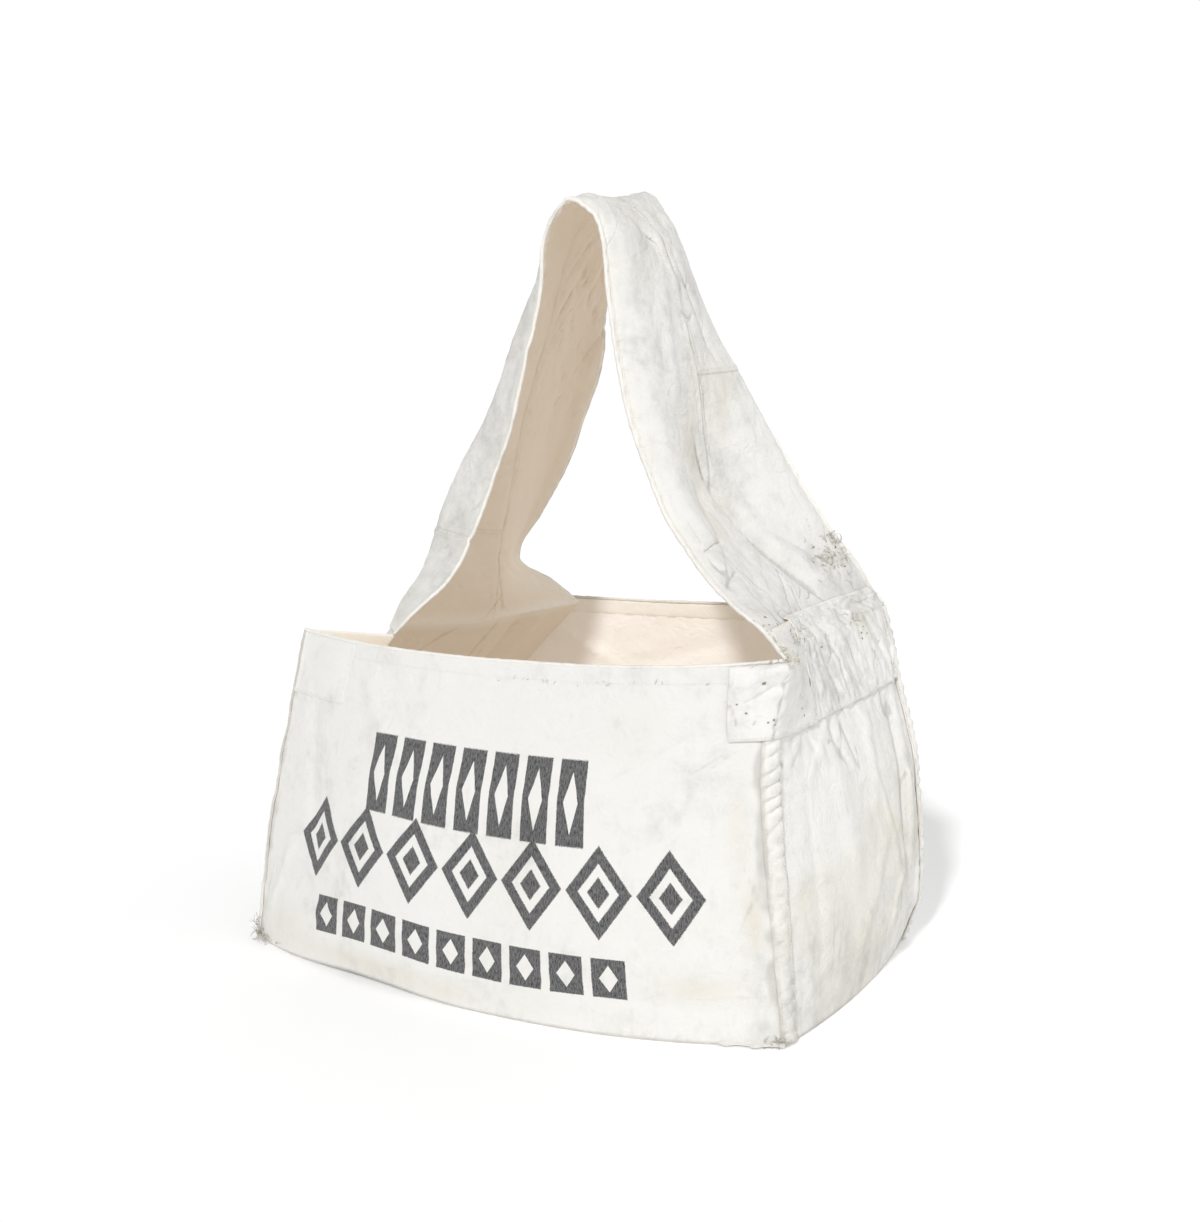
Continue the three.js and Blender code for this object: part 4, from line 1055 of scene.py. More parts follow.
STRAP_STAINS = (
    (-0.035, 0.29, 0.02, 0.05, 0.4), (-0.05, 0.2, 0.02, 0.03, 0.4), (0.03, 0.36, 0.03, 0.03, 0.25),
    (-0.02, 0.95, 0.05, 0.12, 0.3))
for name, first, last, lo, hi, free in (
        ("strap_front_cloth", 0, LEFT_SPLIT, -1, 0, (False, False, True, False)),
        ("strap_front_left_cloth", LEFT_SPLIT, LAST_STATION, -1, 0, (False, True, True, False)),
        ("strap_back_right_cloth", 0, RIGHT_SPLIT, 0, 1, (False, False, False, True)),
        ("strap_back_cloth", RIGHT_SPLIT, LAST_STATION, 0, 1, (False, True, False, True))):
    u, at = pair(spaced(lo, hi, PACE["strap"][0]), spaced(first, last, PACE["strap"][1]))
    cloth(name, strap_point(at, u), 1, STRAP_THICK, strap_folds(at, u), strap_grime(at, u),
          outside="canvas_strap", free=free, spots=spotted(*strap_flat(at, u), STRAP_STAINS),
          lines=1.7 * strap_pinches(at, u), uv_start=(lo * 0.1, first * STATION_RUN))
    print(name, len(made[-1].data.polygons), "faces")

# %% [markdown]
# ## Pieces sewn onto the walls
# Hems, corner seams, the two front patches and the band round the strap's base are second layers.
# Each one reads the wall's own surface and folds, stands one canvas off it and adds puckers of
# its own. A corner seam and its patch go round the corner, so they are measured from it: minus
# on the front, plus on the end wall.

# %% Layers that follow a wall
LAY_GAP = 0.0004
EDGE_STEP = 1e-3


def wall_normals(surface, u, v, sign, low_u, high_u):
    """Normals of a wall worked out from the surface itself, so a narrow strip has the wall's own."""
    a, b = np.clip(u - EDGE_STEP, low_u, high_u), np.clip(u + EDGE_STEP, low_u, high_u)
    c, d = np.clip(v - EDGE_STEP, 0, 1), np.clip(v + EDGE_STEP, 0, 1)
    n = np.cross(surface(b, v) - surface(a, v), surface(u, d) - surface(u, c))
    return sign * unit(n, 1e-12)


WALLS = {
    "front": (lambda u, v: long_wall("front", u, v), front_folds, 1, 0, 1),
    "back": (lambda u, v: long_wall("back", u, v), back_folds, -1, 0, 1),
    "right": (right_wall, right_folds, 1, -1, 1),
    "left": (left_wall, left_folds, -1, 0, 4),
}


def outer_face(wall, u, v, lift=CANVAS + LAY_GAP):
    surface, folds, sign, low_u, high_u = WALLS[wall]
    n = wall_normals(surface, u, v, sign, low_u, high_u)
    return surface(u, v) + n * (folds(u, v) + lift)[..., None]


def round_off(grid, offsets, reach, rounds):
    """Rounds a grid's bend at the corner: only columns nearer to it than reach are moved."""
    near = smooth(1.4 - np.abs(offsets) / reach)[..., None]
    for _ in range(rounds):
        mean = grid.copy()
        mean[:, 1:-1] = (grid[:, :-2] + 2 * grid[:, 1:-1] + grid[:, 2:]) / 4
        grid = grid + (mean - grid) * near
    return grid


def around_corner(corner, d, v, lift=CANVAS + LAY_GAP):
    """d is the way from the corner: under 0 on the long wall, over 0 on the end wall."""
    side, end = corner.split("_")
    run = np.abs(d)
    along = run / BAG_WIDTH if end == "left" else 1 - run / BAG_WIDTH
    long_face = outer_face(side, along, v, lift)
    if end == "right":
        across = run / HALF_D - 1 if side == "front" else 1 - run / HALF_D
        end_face = outer_face("right", across, v, lift)
    else:
        edge, inner = (0.0, 0.2) if side == "front" else (4.0, 3.8)
        full = np.linalg.norm(left_wall(inner + 0 * v, v) - left_wall(edge + 0 * v, v), axis=-1)
        end_face = outer_face("left", edge + (inner - edge) * run / full, v, lift)
    grid = np.where((d <= 0)[..., None], long_face, end_face)
    middle = (d == 0)[..., None]
    return round_off(np.where(middle, (long_face + end_face) / 2, grid), d, 0.006, 3)


# %% Corner seams
SEAM_COLUMNS = (-0.0045, -0.003, -0.0015, 0, 0.0015, 0.003, 0.005, 0.007, 0.009, 0.011, 0.013, 0.0145)


def tick_wave(d, along, seed):
    """The felled seam is gathered into slanted ridges about a centimetre apart."""
    return np.sin(2 * math.pi * (along / 0.0125 - d / 0.03 + 0.9 * noise(along / 0.03, 0.5, seed)))


def corner_ticks(d, along, seed):
    size = 0.55 + 0.65 * noise(along / 0.035, 3.5, seed + 1)
    crown = np.exp(-((d - 0.006) / 0.0055) ** 2)
    ridges = 0.0017 * tick_wave(d, along, seed) * size * crown
    return 0.0023 * crown + ridges + 0.0005 * noise(d / 0.004, along / 0.008, seed + 2)


# Dark in the lows between the seam's slanted ridges and in a thin line on either side of the strip: painted
# shade and painted shadow lines, with some dirt in the pinch.
def tick_shade_and_dirt(d, along, seed):
    size = 0.4 + 0.9 * noise(along / 0.05, 7.5, seed + 3)
    low = np.exp(-((tick_wave(d, along, seed) + 1) / 0.35) ** 2)
    beside = 2.2 * seam_dirt_and_shade(d + 0.004, along, seed, 0.0025)
    beside = beside + 1.2 * seam_dirt_and_shade(d - 0.0135, along, seed + 5, 0.002)
    return 1.5 * size * low * np.exp(-((d - 0.003) / 0.005) ** 2) + beside


def layer(name, grid, thick, bump, grime, sign=1, **rest):
    """A second layer, so many canvases thick, with a rounded edge all round."""
    cloth(name, grid, sign, CANVAS * thick, bump, grime, free=ALL_FREE, **rest)


CORNERS = {"front_right": 111, "front_left": 121, "back_right": 131, "back_left": 141}
for corner, seed in CORNERS.items():
    d, v = pair(SEAM_COLUMNS, spaced(0.004, 0.995, 0.0062))
    along = v * PANEL_HEIGHT
    sign = 1 if corner in ("front_right", "back_left") else -1
    dirt = 0.45 + 0.4 * np.exp(-v * 5) + 0.3 * noise(v * 12, 0.5, seed)
    layer(corner + "_seam_cloth", around_corner(corner, d, v), 0.75, corner_ticks(d, along, seed), dirt, sign,
          outside="seam_cream", lines=tick_shade_and_dirt(d, along, seed))
print("seam strips", [p.name for p in made[-4:]])

# %% Hems
HEM_DEPTH = 0.0185
for side in ("front", "back"):
    u, v = pair(spaced(0.045, 0.955, 0.0075), np.linspace(1 - HEM_DEPTH / PANEL_HEIGHT, 0.9985, 6))
    turned_in = 0.0009 * (1 - smooth((v - v.min()) * PANEL_HEIGHT / 0.006))
    layer(side + "_hem_cloth", outer_face(side, u, v, -LAY_GAP), 0.25, -turned_in, 0 * u, -WALLS[side][2],
          outside="canvas_inside_pale")

# %% The band round the strap's base
PATCH_FRONT, PATCH_END = 0.051, 0.098  # how far the corner patch reaches along the front and the end wall
PATCH_LOW, PATCH_TOP = PATCH_HEIGHT - 0.004, 0.994
BAND_TOP = 1.2
FOOT_IN, FOOT_OUT, FOOT_LOW, FOOT_TOP = -0.985, -0.4, 0.982, 1.17
LEFT_PATCH_END = 0.163
LAYER_PACE = 0.0135
STATIONS_UP = 5  # strap stations for each wall height above the rim
HEIGHT_UP = 0.25  # metres over the strap for each wall height above the rim


def base_rows(u, h, lift):
    """Rows up to 1 lie on the end wall, higher ones run on over the strap."""
    wall = outer_face("right", u, np.clip(h, 0, 1), lift)
    at = np.clip(h - 1, 0, None) * STATIONS_UP
    grid = strap_point(at, u)
    n = normals_of(grid, 1)
    strap = grid + n * (strap_folds(at, u) + lift + CANVAS)[..., None]
    blend = smooth((h - 0.985) / 0.03)[..., None]
    return wall * (1 - blend) + strap * blend


def slanted(u, h):
    """Places on the band, slanted as its folds run from the rim up the strap."""
    y, z = u * HALF_D, h * PANEL_HEIGHT
    return y + (z - PANEL_HEIGHT) * 0.35, z


def band_pinches(u, h):
    a, z = slanted(u, h)
    return np.clip(pinches(a, z, 0.020, 305, 88, 3.4) + 0.8 * pinches(a, z, 0.012, 307, 84, 2.6), 0, 1.2)


def band_folds(u, h):
    y, (a, z) = u * HALF_D, slanted(u, h)
    rise = 0.0040 * crumple(a, z, 0.017, 161, 88, 3.0) + 0.0014 * crumple(a, z, 0.010, 162, 70, 1.6)
    rise += 0.0018 * crumple(a, z, 0.034, 163, 105, 1.8)
    for fold in ((-0.015, 0.345, 108, 0.11, 0.004, -0.0034), (0.0, 0.35, 100, 0.10, 0.004, 0.003),
                 (-0.045, 0.345, 88, 0.09, 0.0045, 0.0034), (-0.032, 0.335, 92, 0.08, 0.0035, -0.003),
                 (0.03, 0.34, 112, 0.09, 0.0045, 0.003), (0.055, 0.35, 112, 0.08, 0.004, -0.0028),
                 (0.08, 0.35, 118, 0.08, 0.0045, 0.0028), (0.1, 0.345, 115, 0.06, 0.004, -0.0024)):
        rise += crease(y, z, *fold)
    rise -= 0.0010 * band_pinches(u, h)
    low = z - PATCH_HEIGHT * PANEL_HEIGHT
    rise += puckers(low, y, 0.011, 0.0009, 0.016, 164)
    rise = (rise - 0.0006) * fade(low, 0.010) * fade((BAND_TOP - h) * HEIGHT_UP, 0.008)
    return rise * fade(HALF_D * (1 - np.abs(u)), 0.01)


u, h = pair(spaced(-0.47, 0.93, LAYER_PACE), spaced(PATCH_HEIGHT, BAND_TOP, 0.0085))
layer("right_base_band_cloth", base_rows(u, h, CANVAS + LAY_GAP + 0.0008), 0.75, band_folds(u, h),
      0.5 + 0.3 * noise(u * 5, h * 8, 171), outside="canvas_gusset", lines=1.3 * band_pinches(u, h),
      spots=spot(u * HALF_D, h * PANEL_HEIGHT, 0.088, 0.347, 0.013, 0.014, 1.1))
print("band faces", len(made[-1].data.polygons))

# %% The patch round the front right corner
offsets = np.concatenate([spaced(-PATCH_FRONT, -0.008, 0.0035), spaced(-0.006, 0.006, 0.0015),
                          spaced(0.008, PATCH_END, 0.0035)])
d, v = pair(offsets, spaced(PATCH_LOW, PATCH_TOP, 0.0095))
d = np.where(d < 0, d * (0.70 + 0.30 * (v - PATCH_HEIGHT) / (1 - PATCH_HEIGHT)), d)
z = v * PANEL_HEIGHT
over_seam = np.exp(-(((d - 0.005) / 0.0135) ** 4)) * CANVAS * 0.9 + smooth((d - 0.078) / 0.008) * CANVAS
pinched = pinches(d, z, 0.026, 309, 24, 2.2)
rise = -0.0008 * pinched + 0.0022 * crumple(d, z, 0.032, 172, 30, 1.8)
rise += 0.0009 * crumple(d, z, 0.013, 173, 60, 1.4)
for fold in ((-0.02, 0.335, 28, 0.07, 0.004, 0.0024), (-0.012, 0.324, 30, 0.06, 0.004, -0.002)):
    rise += crease(d, z, *fold)
borders = np.minimum(np.minimum(d - d.min(axis=1, keepdims=True), PATCH_END - d),
                     np.minimum(v - PATCH_LOW, PATCH_TOP - v) * PANEL_HEIGHT)
layer("front_right_patch_cloth", around_corner("front_right", d, v, CANVAS + LAY_GAP + 0.0007), 0.75,
      over_seam + (rise + 0.0006) * fade(borders, 0.008), 0.3 + 0.25 * noise(d * 40, v * 12, 174),
      outside="canvas_gusset", lines=2.6 * seam_dirt_and_shade(d - 0.002, z, 179, 0.0016) + 1.1 * pinched)

# %% The patch on the strap's foot and the one at the front's left corner
u, h = pair(spaced(FOOT_IN, FOOT_OUT, LAYER_PACE), spaced(FOOT_LOW, FOOT_TOP, 0.0075))
y, z = u * HALF_D, h * PANEL_HEIGHT
rise = 0.0014 * crumple(y, z, 0.03, 176, 60, 1.8) + 0.0006 * crumple(y, z, 0.012, 177, 100, 1.5)
borders = np.minimum(np.minimum(u - FOOT_IN, FOOT_OUT - u) * HALF_D,
                     np.minimum(h - FOOT_LOW, FOOT_TOP - h) * HEIGHT_UP)
into_edge = 0.0026 * (1 - smooth((u - FOOT_IN) * HALF_D / 0.012))
layer("strap_foot_patch_cloth", base_rows(u, h, CANVAS + LAY_GAP + 0.0010), 0.7,
      rise * fade(borders, 0.008) + 0.0004 - into_edge, 0.55 + 0.25 * noise(u * 8, h * 12, 178),
      outside="canvas_strap", lines=1.2 * pinches(y, z, 0.016, 311, 70, 2.4))

u, v = pair(spaced(0.004, LEFT_PATCH_END, 0.0055), spaced(PATCH_HEIGHT, PATCH_TOP, 0.0095))
borders = np.minimum((LEFT_PATCH_END - u) * BAG_WIDTH,
                     np.minimum(v - PATCH_HEIGHT, PATCH_TOP - v) * PANEL_HEIGHT)
rise = 0.0006 * crumple(u * BAG_WIDTH, v * PANEL_HEIGHT, 0.04, 175, 20, 1.5)
layer("front_left_patch_cloth", outer_face("front", u, v), 0.35, rise * fade(borders, 0.01) - 0.0004,
      0.18 + 0 * u)

# %% [markdown]
# ## Folded edges
# The rim is turned over once and the strap's two layers are turned in along both edges, so each
# edge is a soft round lip that catches the light. One lip is a thin tube laid along the edge.

# %% Lips
def tube(name, path, radius, wobble, seed, sides=8):
    ahead = unit(np.gradient(path, axis=0))
    side = np.cross(ahead, (0, 0, 1.0))
    for k in range(1, len(side)):
        side[k] = side[k - 1] - ahead[k] * (side[k - 1] @ ahead[k])
    side = unit(side)
    up = np.cross(side, ahead)
    turn = np.arange(sides) * 2 * math.pi / sides
    count = len(path)
    radius = radius * (1 + wobble * noise(np.arange(count) * 0.35, 0.5, seed))
    ring = side[:, None] * np.cos(turn)[None, :, None] + up[:, None] * np.sin(turn)[None, :, None]
    verts = (path[:, None] + ring * radius[:, None, None]).reshape(-1, 3)
    q = np.arange(count * sides).reshape(count, sides)
    nxt = np.roll(q, -1, axis=1)
    faces = np.stack([q[:-1], q[1:], nxt[1:], nxt[:-1]], -1).reshape(-1, 4).tolist()
    faces += [q[0].tolist(), q[-1][::-1].tolist()]
    mesh = new_object(name, verts, faces, "canvas_edge").data
    step = np.repeat(running(path), sides)
    lay_flat(mesh, np.stack([np.tile(turn * 0.002, count), step], -1))
    add_attribute(mesh, "fold", np.full(len(verts), 0.2))
    add_attribute(mesh, "grime", np.clip(0.25 + 0.3 * noise(step / 0.03, 0.5, seed + 9), 0, 1))
    add_attribute(mesh, "edge", np.full(len(verts), 0.6))


for side in ("front", "back"):
    u = spaced(0.002, 0.998, 0.0035)
    surface, folds, sign, low_u, high_u = WALLS[side]
    v = np.ones_like(u)
    n = wall_normals(surface, u[None], v[None], sign, low_u, high_u)[0]
    path = surface(u, v) + n * (folds(u, v) + CANVAS * 0.15)[:, None] + FOOT_SHIFT
    tube(side + "_rim_lip", path, 0.0019, 0.22, 181)
for edge, u_edge in (("front", -1.0), ("back", 1.0)):
    at = spaced(0, LAST_STATION, 0.05)
    near = np.full_like(at, u_edge)
    grid = np.stack([strap_point(at, near * 0.985), strap_point(at, near)], 1)
    n = normals_of(grid, 1.0) * u_edge
    path = grid[:, 1] + n[:, 1] * (strap_folds(at, near) + STRAP_THICK / 2)[:, None] + FOOT_SHIFT
    tube("strap_" + edge + "_lip", path, 0.0021, 0.2, 183)
print("lips", [p.name for p in made[-4:]])

# %% [markdown]
# ## Stitches
# The bag is sewn with thick cotton. One stitch is modelled as a little spindle and copied along
# every seam. Where the bag is most worn some stitches are gone, so each row leaves a few out.

# %% Small shapes that are copied
def template(operator, **settings):
    """Points and faces of a small mesh, without keeping the mesh. Blender lists a ball's faces in
    another order in each run, so they are sorted."""
    bpy.ops.object.select_all(action="DESELECT")
    operator(**settings)
    piece = bpy.context.object
    points = np.array([tuple(p.co) for p in piece.data.vertices])
    faces = sorted(tuple(f.vertices) for f in piece.data.polygons)
    bpy.data.objects.remove(piece)
    return points, faces


SPINDLE = (0.0013, 0.00042, 0.00036)  # half a stitch's length, width and height
BALL_POINTS, STITCH_FACES = template(bpy.ops.mesh.primitive_uv_sphere_add, segments=6, ring_count=4)
STITCH_POINTS = BALL_POINTS * SPINDLE
print("a stitch has", len(STITCH_FACES), "faces")
LIP = template(bpy.ops.mesh.primitive_torus_add, major_segments=10, minor_segments=5, major_radius=1.0,
               minor_radius=0.24)
# A flat disc, painted dark as the shadow inside a hole.
SHADOW_DISC = template(bpy.ops.mesh.primitive_circle_add, vertices=10, radius=0.92, fill_type="NGON")


def traced(name, face, rows, cols):
    """Places and normals on a cloth's face, from shares of its rows and columns."""
    grid, n = faces_of[name][face]
    rows, cols = np.broadcast_arrays(np.asarray(rows, float), np.asarray(cols, float))
    j, i = rows * (grid.shape[0] - 1), cols * (grid.shape[1] - 1)
    j0 = np.clip(j.astype(int), 0, grid.shape[0] - 2)
    i0 = np.clip(i.astype(int), 0, grid.shape[1] - 2)
    a, b = (j - j0)[:, None], (i - i0)[:, None]

    def mix(values):
        low = values[j0, i0] * (1 - b) + values[j0, i0 + 1] * b
        high = values[j0 + 1, i0] * (1 - b) + values[j0 + 1, i0 + 1] * b
        return low * (1 - a) + high * a

    return mix(grid), mix(n)


def row_of_stitches(places, missing, seed, pitch=0.0034, wander=0.0003):
    """Frames of single stitches, evenly spaced along a traced line."""
    run = running(places[0])
    count = max(2, int(run[-1] / pitch))
    stops = (np.arange(count) + 0.5) * run[-1] / count
    at, up = (np.stack([np.interp(stops, run, values[:, k]) for k in range(3)], 1) for values in places)
    ahead = unit(np.gradient(at, axis=0))
    up = unit(up - ahead * (up * ahead).sum(1, keepdims=True))
    side = np.cross(up, ahead)
    at = at + side * (wander * noise(stops / 0.02, 0.5, seed))[:, None] + up * 0.00012
    keep = (noise(stops / 0.011, 4.5, seed + 1) + 1) / 2 > missing
    return at[keep], ahead[keep], side[keep], up[keep]


def sew(name, rows, size=1.0):
    """Joins copies of the stitch for all rows of one seam into one piece."""
    at, ahead, side, up = (np.concatenate([row[k] for row in rows])[:, None] for k in range(4))
    p = STITCH_POINTS[None] * size
    verts = at + ahead * p[..., :1] + side * p[..., 1:2] + up * p[..., 2:]
    n = len(STITCH_POINTS)
    faces = [tuple(k * n + c for c in f) for k in range(len(at)) for f in STITCH_FACES]
    new_object(name, verts.reshape(-1, 3), faces, "cotton_thread")
    print(name, len(at), "stitches")


# %% Sew every seam
# Each row: cloth, face, share of its rows, share of its columns, share of stitches lost, seed, pitch.
along = np.linspace(0.005, 0.995, 240)
HEM_AT = 1 - 0.0165 / PANEL_HEIGHT
EDGE_ROW = 0.065  # share of a strap half's width from its edge to its stitches
SEAM_ROW = 0.055
down = along * 0.92
band, patch, foot, left = ("right_base_band_cloth", "front_right_patch_cloth", "strap_foot_patch_cloth",
                           "front_left_patch_cloth")
SEAMS = {"front_hem_stitches": [("front_cloth", "outer", HEM_AT, along, 0.22, 3)],
         "back_hem_stitches": [("back_cloth", "outer", HEM_AT, along, 0.12, 4)]}
for corner in CORNERS:
    low_part = np.linspace(0.01, 0.8 if corner == "front_right" else 0.97, 200)
    SEAMS[corner + "_seam_stitches"] = [(corner + "_seam_cloth", "outer", low_part, 0.17, 0.12, 6, 0.0036),
                                        (corner + "_seam_cloth", "outer", low_part, 0.9, 0.08, 7, 0.0036)]
for half in ("strap_front", "strap_front_left", "strap_back_right", "strap_back"):
    edge_at, seam_at = (EDGE_ROW, 1 - SEAM_ROW) if "front" in half else (1 - EDGE_ROW, SEAM_ROW)
    SEAMS[half + "_stitches"] = [(half + "_cloth", "outer", along, edge_at, 0.18, 8),
                                 (half + "_cloth", "inner", along, edge_at, 0.08, 9),
                                 (half + "_cloth", "outer", along, seam_at, 0.25, 10)]
SEAMS["strap_cross_seam_stitches"] = [("strap_back_cloth", "outer", 0.006, along, 0.2, 11),
                                      ("strap_front_left_cloth", "outer", 0.03, along, 0.2, 12),
                                      ("strap_front_left_cloth", "inner", 0.03, along, 0.1, 13)]
SEAMS["right_base_band_stitches"] = [(band, "outer", 0.03, along, 0.05, 14),
                                     (band, "outer", 0.965, along, 0.2, 15),
                                     (band, "outer", along * 0.6, 0.025, 0.15, 16)]
SEAMS["front_right_patch_stitches"] = [(patch, "outer", 0.05, along, 0.08, 17),
                                       (patch, "outer", down + 0.02, 0.03, 0.25, 18),
                                       (patch, "outer", down + 0.02, 0.975, 0.1, 19)]
SEAMS["strap_foot_patch_stitches"] = [(foot, "outer", 0.96, along, 0.3, 22),
                                      (foot, "outer", along, 0.97, 0.2, 23)]
SEAMS["front_left_patch_stitches"] = [(left, "outer", 0.05, along, 0.1, 20),
                                      (left, "outer", down + 0.04, 0.97, 0.1, 21)]
for name, rows in SEAMS.items():
    sew(name, [row_of_stitches(traced(*row[:4]), *row[4:]) for row in rows])

# %% [markdown]
# ## Holes, darns and frays
# A bag like this has been mended again and again. Worn holes are a raised lip of broken yarn round
# a flat dark disc, a painted shadow in the hole. Darns are short stitches laid close together. Loose
# yarn ends are thin tubes that start on the cloth and wander off it. Each list names its places by
# shares of the cloth.

# %% Holes
HOLE_SIZE = 1.45  # how much wider a hole's lip is than the number in its row


def frame_on(name, row, col, face="outer"):
    """A place on a cloth with its normal and two directions in the cloth."""
    at, up = traced(name, face, [row], [col])
    up = up[0] / np.linalg.norm(up[0])
    side = np.cross(up, (0.0, 0.0, 1.0) if abs(up[2]) < 0.9 else (1.0, 0.0, 0.0))
    side /= np.linalg.norm(side)
    return at[0], side, np.cross(up, side), up


def placed(points, at, side, along, up, size, seed, lift):
    """Points of a small shape set down on a cloth, each shape a little out of round."""
    ragged = 1 + 0.35 * noise(points[:, 0] * 2.3 + seed, points[:, 1] * 2.3, 191)
    p = points * size * ragged[:, None]
    return at + p[:, :1] * side + p[:, 1:2] * along * 0.8 + (p[:, 2:] * 0.8 + lift) * up


def holes(name, places):
    """A lip and a flat dark disc, a painted shadow, for each hole: (share of rows, share of columns, size),
    by cloth.
    """
    rows = [(cloth_name, *row) for cloth_name, listed in places.items() for row in listed]
    for suffix, (points, faces), lift, material in (("_lips", LIP, 0.0001, "cotton_thread"),
                                                    ("_shadow_discs", SHADOW_DISC, 0.00025, "hole_shadow")):
        verts, joined = [], []
        for k, (cloth_name, row, col, size) in enumerate(rows):
            start = k * len(points)
            verts.append(placed(points, *frame_on(cloth_name, row, col), size * HOLE_SIZE, k * 3.7, lift))
            joined += [tuple(c + start for c in f) for f in faces]
        new_object(name + suffix, np.concatenate(verts), joined, material)


holes("worn_holes", {
    "strap_front_cloth": ((0.058, 0.212, 0.0014), (0.046, 0.16, 0.0010), (0.041, 0.3, 0.0021)),
    foot: ((0.62, 0.62, 0.0016), (0.5, 0.8, 0.0024), (0.35, 0.55, 0.0013)),
    band: ((0.41, 0.655, 0.0011), (0.44, 0.67, 0.0009), (0.37, 0.65, 0.0010), (0.39, 0.69, 0.0008),
           (0.47, 0.64, 0.0008), (0.62, 0.08, 0.0022), (0.7, 0.2, 0.0018), (0.45, 0.3, 0.0012)),
    patch: ((0.381, 0.125, 0.0011), (0.286, 0.354, 0.0012), (0.22, 0.38, 0.0010), (0.25, 0.31, 0.0009),
            (0.19, 0.833, 0.0012), (0.30, 0.80, 0.0009), (0.78, 0.2, 0.0017), (0.5, 0.06, 0.0009)),
    "strap_back_right_cloth": ((0.355, 0.56, 0.0014), (0.30, 0.66, 0.0016), (0.27, 0.60, 0.0012),
                               (0.33, 0.78, 0.0015), (0.25, 0.72, 0.0010))})


# %% Loose yarn ends
YARN = 0.00042
YARN_STEPS = 7
FLOOR_GAP = 0.0008  # how far a yarn's middle line stays above the floor
RANDOM = np.random.default_rng(7)


def yarns(name, roots, length, radius=YARN, lean=0.5, material="old_yarn"):
    """Thin four-sided tubes from each root: (cloth, row, col, how many, spread over the cloth)."""
    verts, faces = [], []
    n = YARN_STEPS + 1
    thin = radius * np.linspace(1.0, 0.55, n)[:, None]
    single = [root[:3] + root[4:] for root in roots for _ in range(root[3])]
    for cloth_name, row, col, spread_rows, spread_cols in single:
        r = float(np.clip(row + RANDOM.normal() * spread_rows, 0.002, 0.998))
        c = float(np.clip(col + RANDOM.normal() * spread_cols, 0.002, 0.998))
        at, side, along, up = frame_on(cloth_name, r, c)
        turn = RANDOM.uniform(0, 2 * math.pi)
        heading = up * lean + side * math.cos(turn) + along * math.sin(turn)
        step = RANDOM.uniform(0.5, 1.3) * length / YARN_STEPS
        path = [at]
        for _ in range(YARN_STEPS):
            heading = unit(heading)
            path.append(path[-1] + heading * step)
            away = (path[-1] - at) @ up
            heading = heading + RANDOM.normal(size=3) * 0.42 - up * (0.25 if away > 0.002 else -0.1)
            path[-1][2] = max(path[-1][2], FLOOR_GAP)
        path = np.array(path)
        ahead = unit(np.gradient(path, axis=0))
        a = unit(np.cross(ahead, up), 1e-6)
        b = np.cross(ahead, a)
        start = len(verts)
        for x, y in ((1, 0), (0, 1), (-1, 0), (0, -1)):
            verts.extend(path + (a * x + b * y) * thin)
        for k in range(YARN_STEPS):
            for i in range(4):
                here, other = start + i * n + k, start + (i + 1) % 4 * n + k
                faces.append((here, here + 1, other + 1, other))
        faces.append(tuple(start + i * n for i in range(4)))
        faces.append(tuple(start + i * n + YARN_STEPS for i in (3, 2, 1, 0)))
    new_object(name, np.array(verts), faces, material)
    print(name, len(faces), "faces")


yarns("strap_darn_yarns", (("strap_back_right_cloth", 0.30, 0.66, 46, 0.035, 0.10),
                           ("strap_back_right_cloth", 0.37, 0.86, 22, 0.015, 0.06)), 0.014)
yarns("base_band_yarns", ((band, 0.55, 0.62, 14, 0.05, 0.03), (band, 0.62, 0.1, 14, 0.08, 0.05),
                          (foot, 0.5, 0.75, 16, 0.15, 0.12)), 0.008)
yarns("rim_corner_yarns", (("strap_front_cloth", 0.02, 0.03, 26, 0.02, 0.02),
                           ("front_cloth", 0.998, 0.985, 14, 0.004, 0.012)), 0.006, lean=0.3)
yarns("hem_yarns", (("front_cloth", 0.95, 0.66, 16, 0.006, 0.10),), 0.005, lean=0.2)
yarns("ear_frays", ((foot, 0.12, 0.0, 22, 0.12, 0.01), (foot, 0.02, 0.01, 30, 0.03, 0.02),
                    (foot, 0.25, 0.01, 26, 0.2, 0.012), (patch, 0.99, 0.66, 16, 0.01, 0.06)),
      0.009, radius=0.0005, lean=0.8, material="cotton_thread")
yarns("foot_tuft", (("front_cloth", 0.012, 0.02, 30, 0.008, 0.012),
                    ("front_left_seam_cloth", 0.03, 0.5, 16, 0.02, 0.3),
                    ("front_cloth", 0.0, 0.985, 26, 0.005, 0.010)), 0.014, radius=0.0005, lean=0.9)

# %% Darns and mending
def darn(name, *patches):
    """Short rows of stitches side by side: (cloth, row from, row to, col from, col to, how many rows)."""
    lines_of = []
    for cloth_name, r0, r1, c0, c1, count in patches:
        for k in range(count):
            r = np.linspace(r0, r1, 40)
            c = c0 + (c1 - c0) * k / max(1, count - 1) + 0.004 * np.sin(r * 90 + k * 2)
            lines_of.append(row_of_stitches(traced(cloth_name, "outer", r, c), 0.1, 201 + k, 0.0029, 0.0006))
    sew(name, lines_of, size=0.8)


darn("gusset_mending", ("right_gusset_cloth", 0.15, 0.33, 0.185, 0.22, 5),
     ("right_gusset_cloth", 0.48, 0.68, 0.065, 0.085, 2))
darn("strap_darn", ("strap_back_right_cloth", 0.26, 0.33, 0.58, 0.72, 8))
darn("base_band_darn", (band, 0.46, 0.62, 0.60, 0.68, 6))

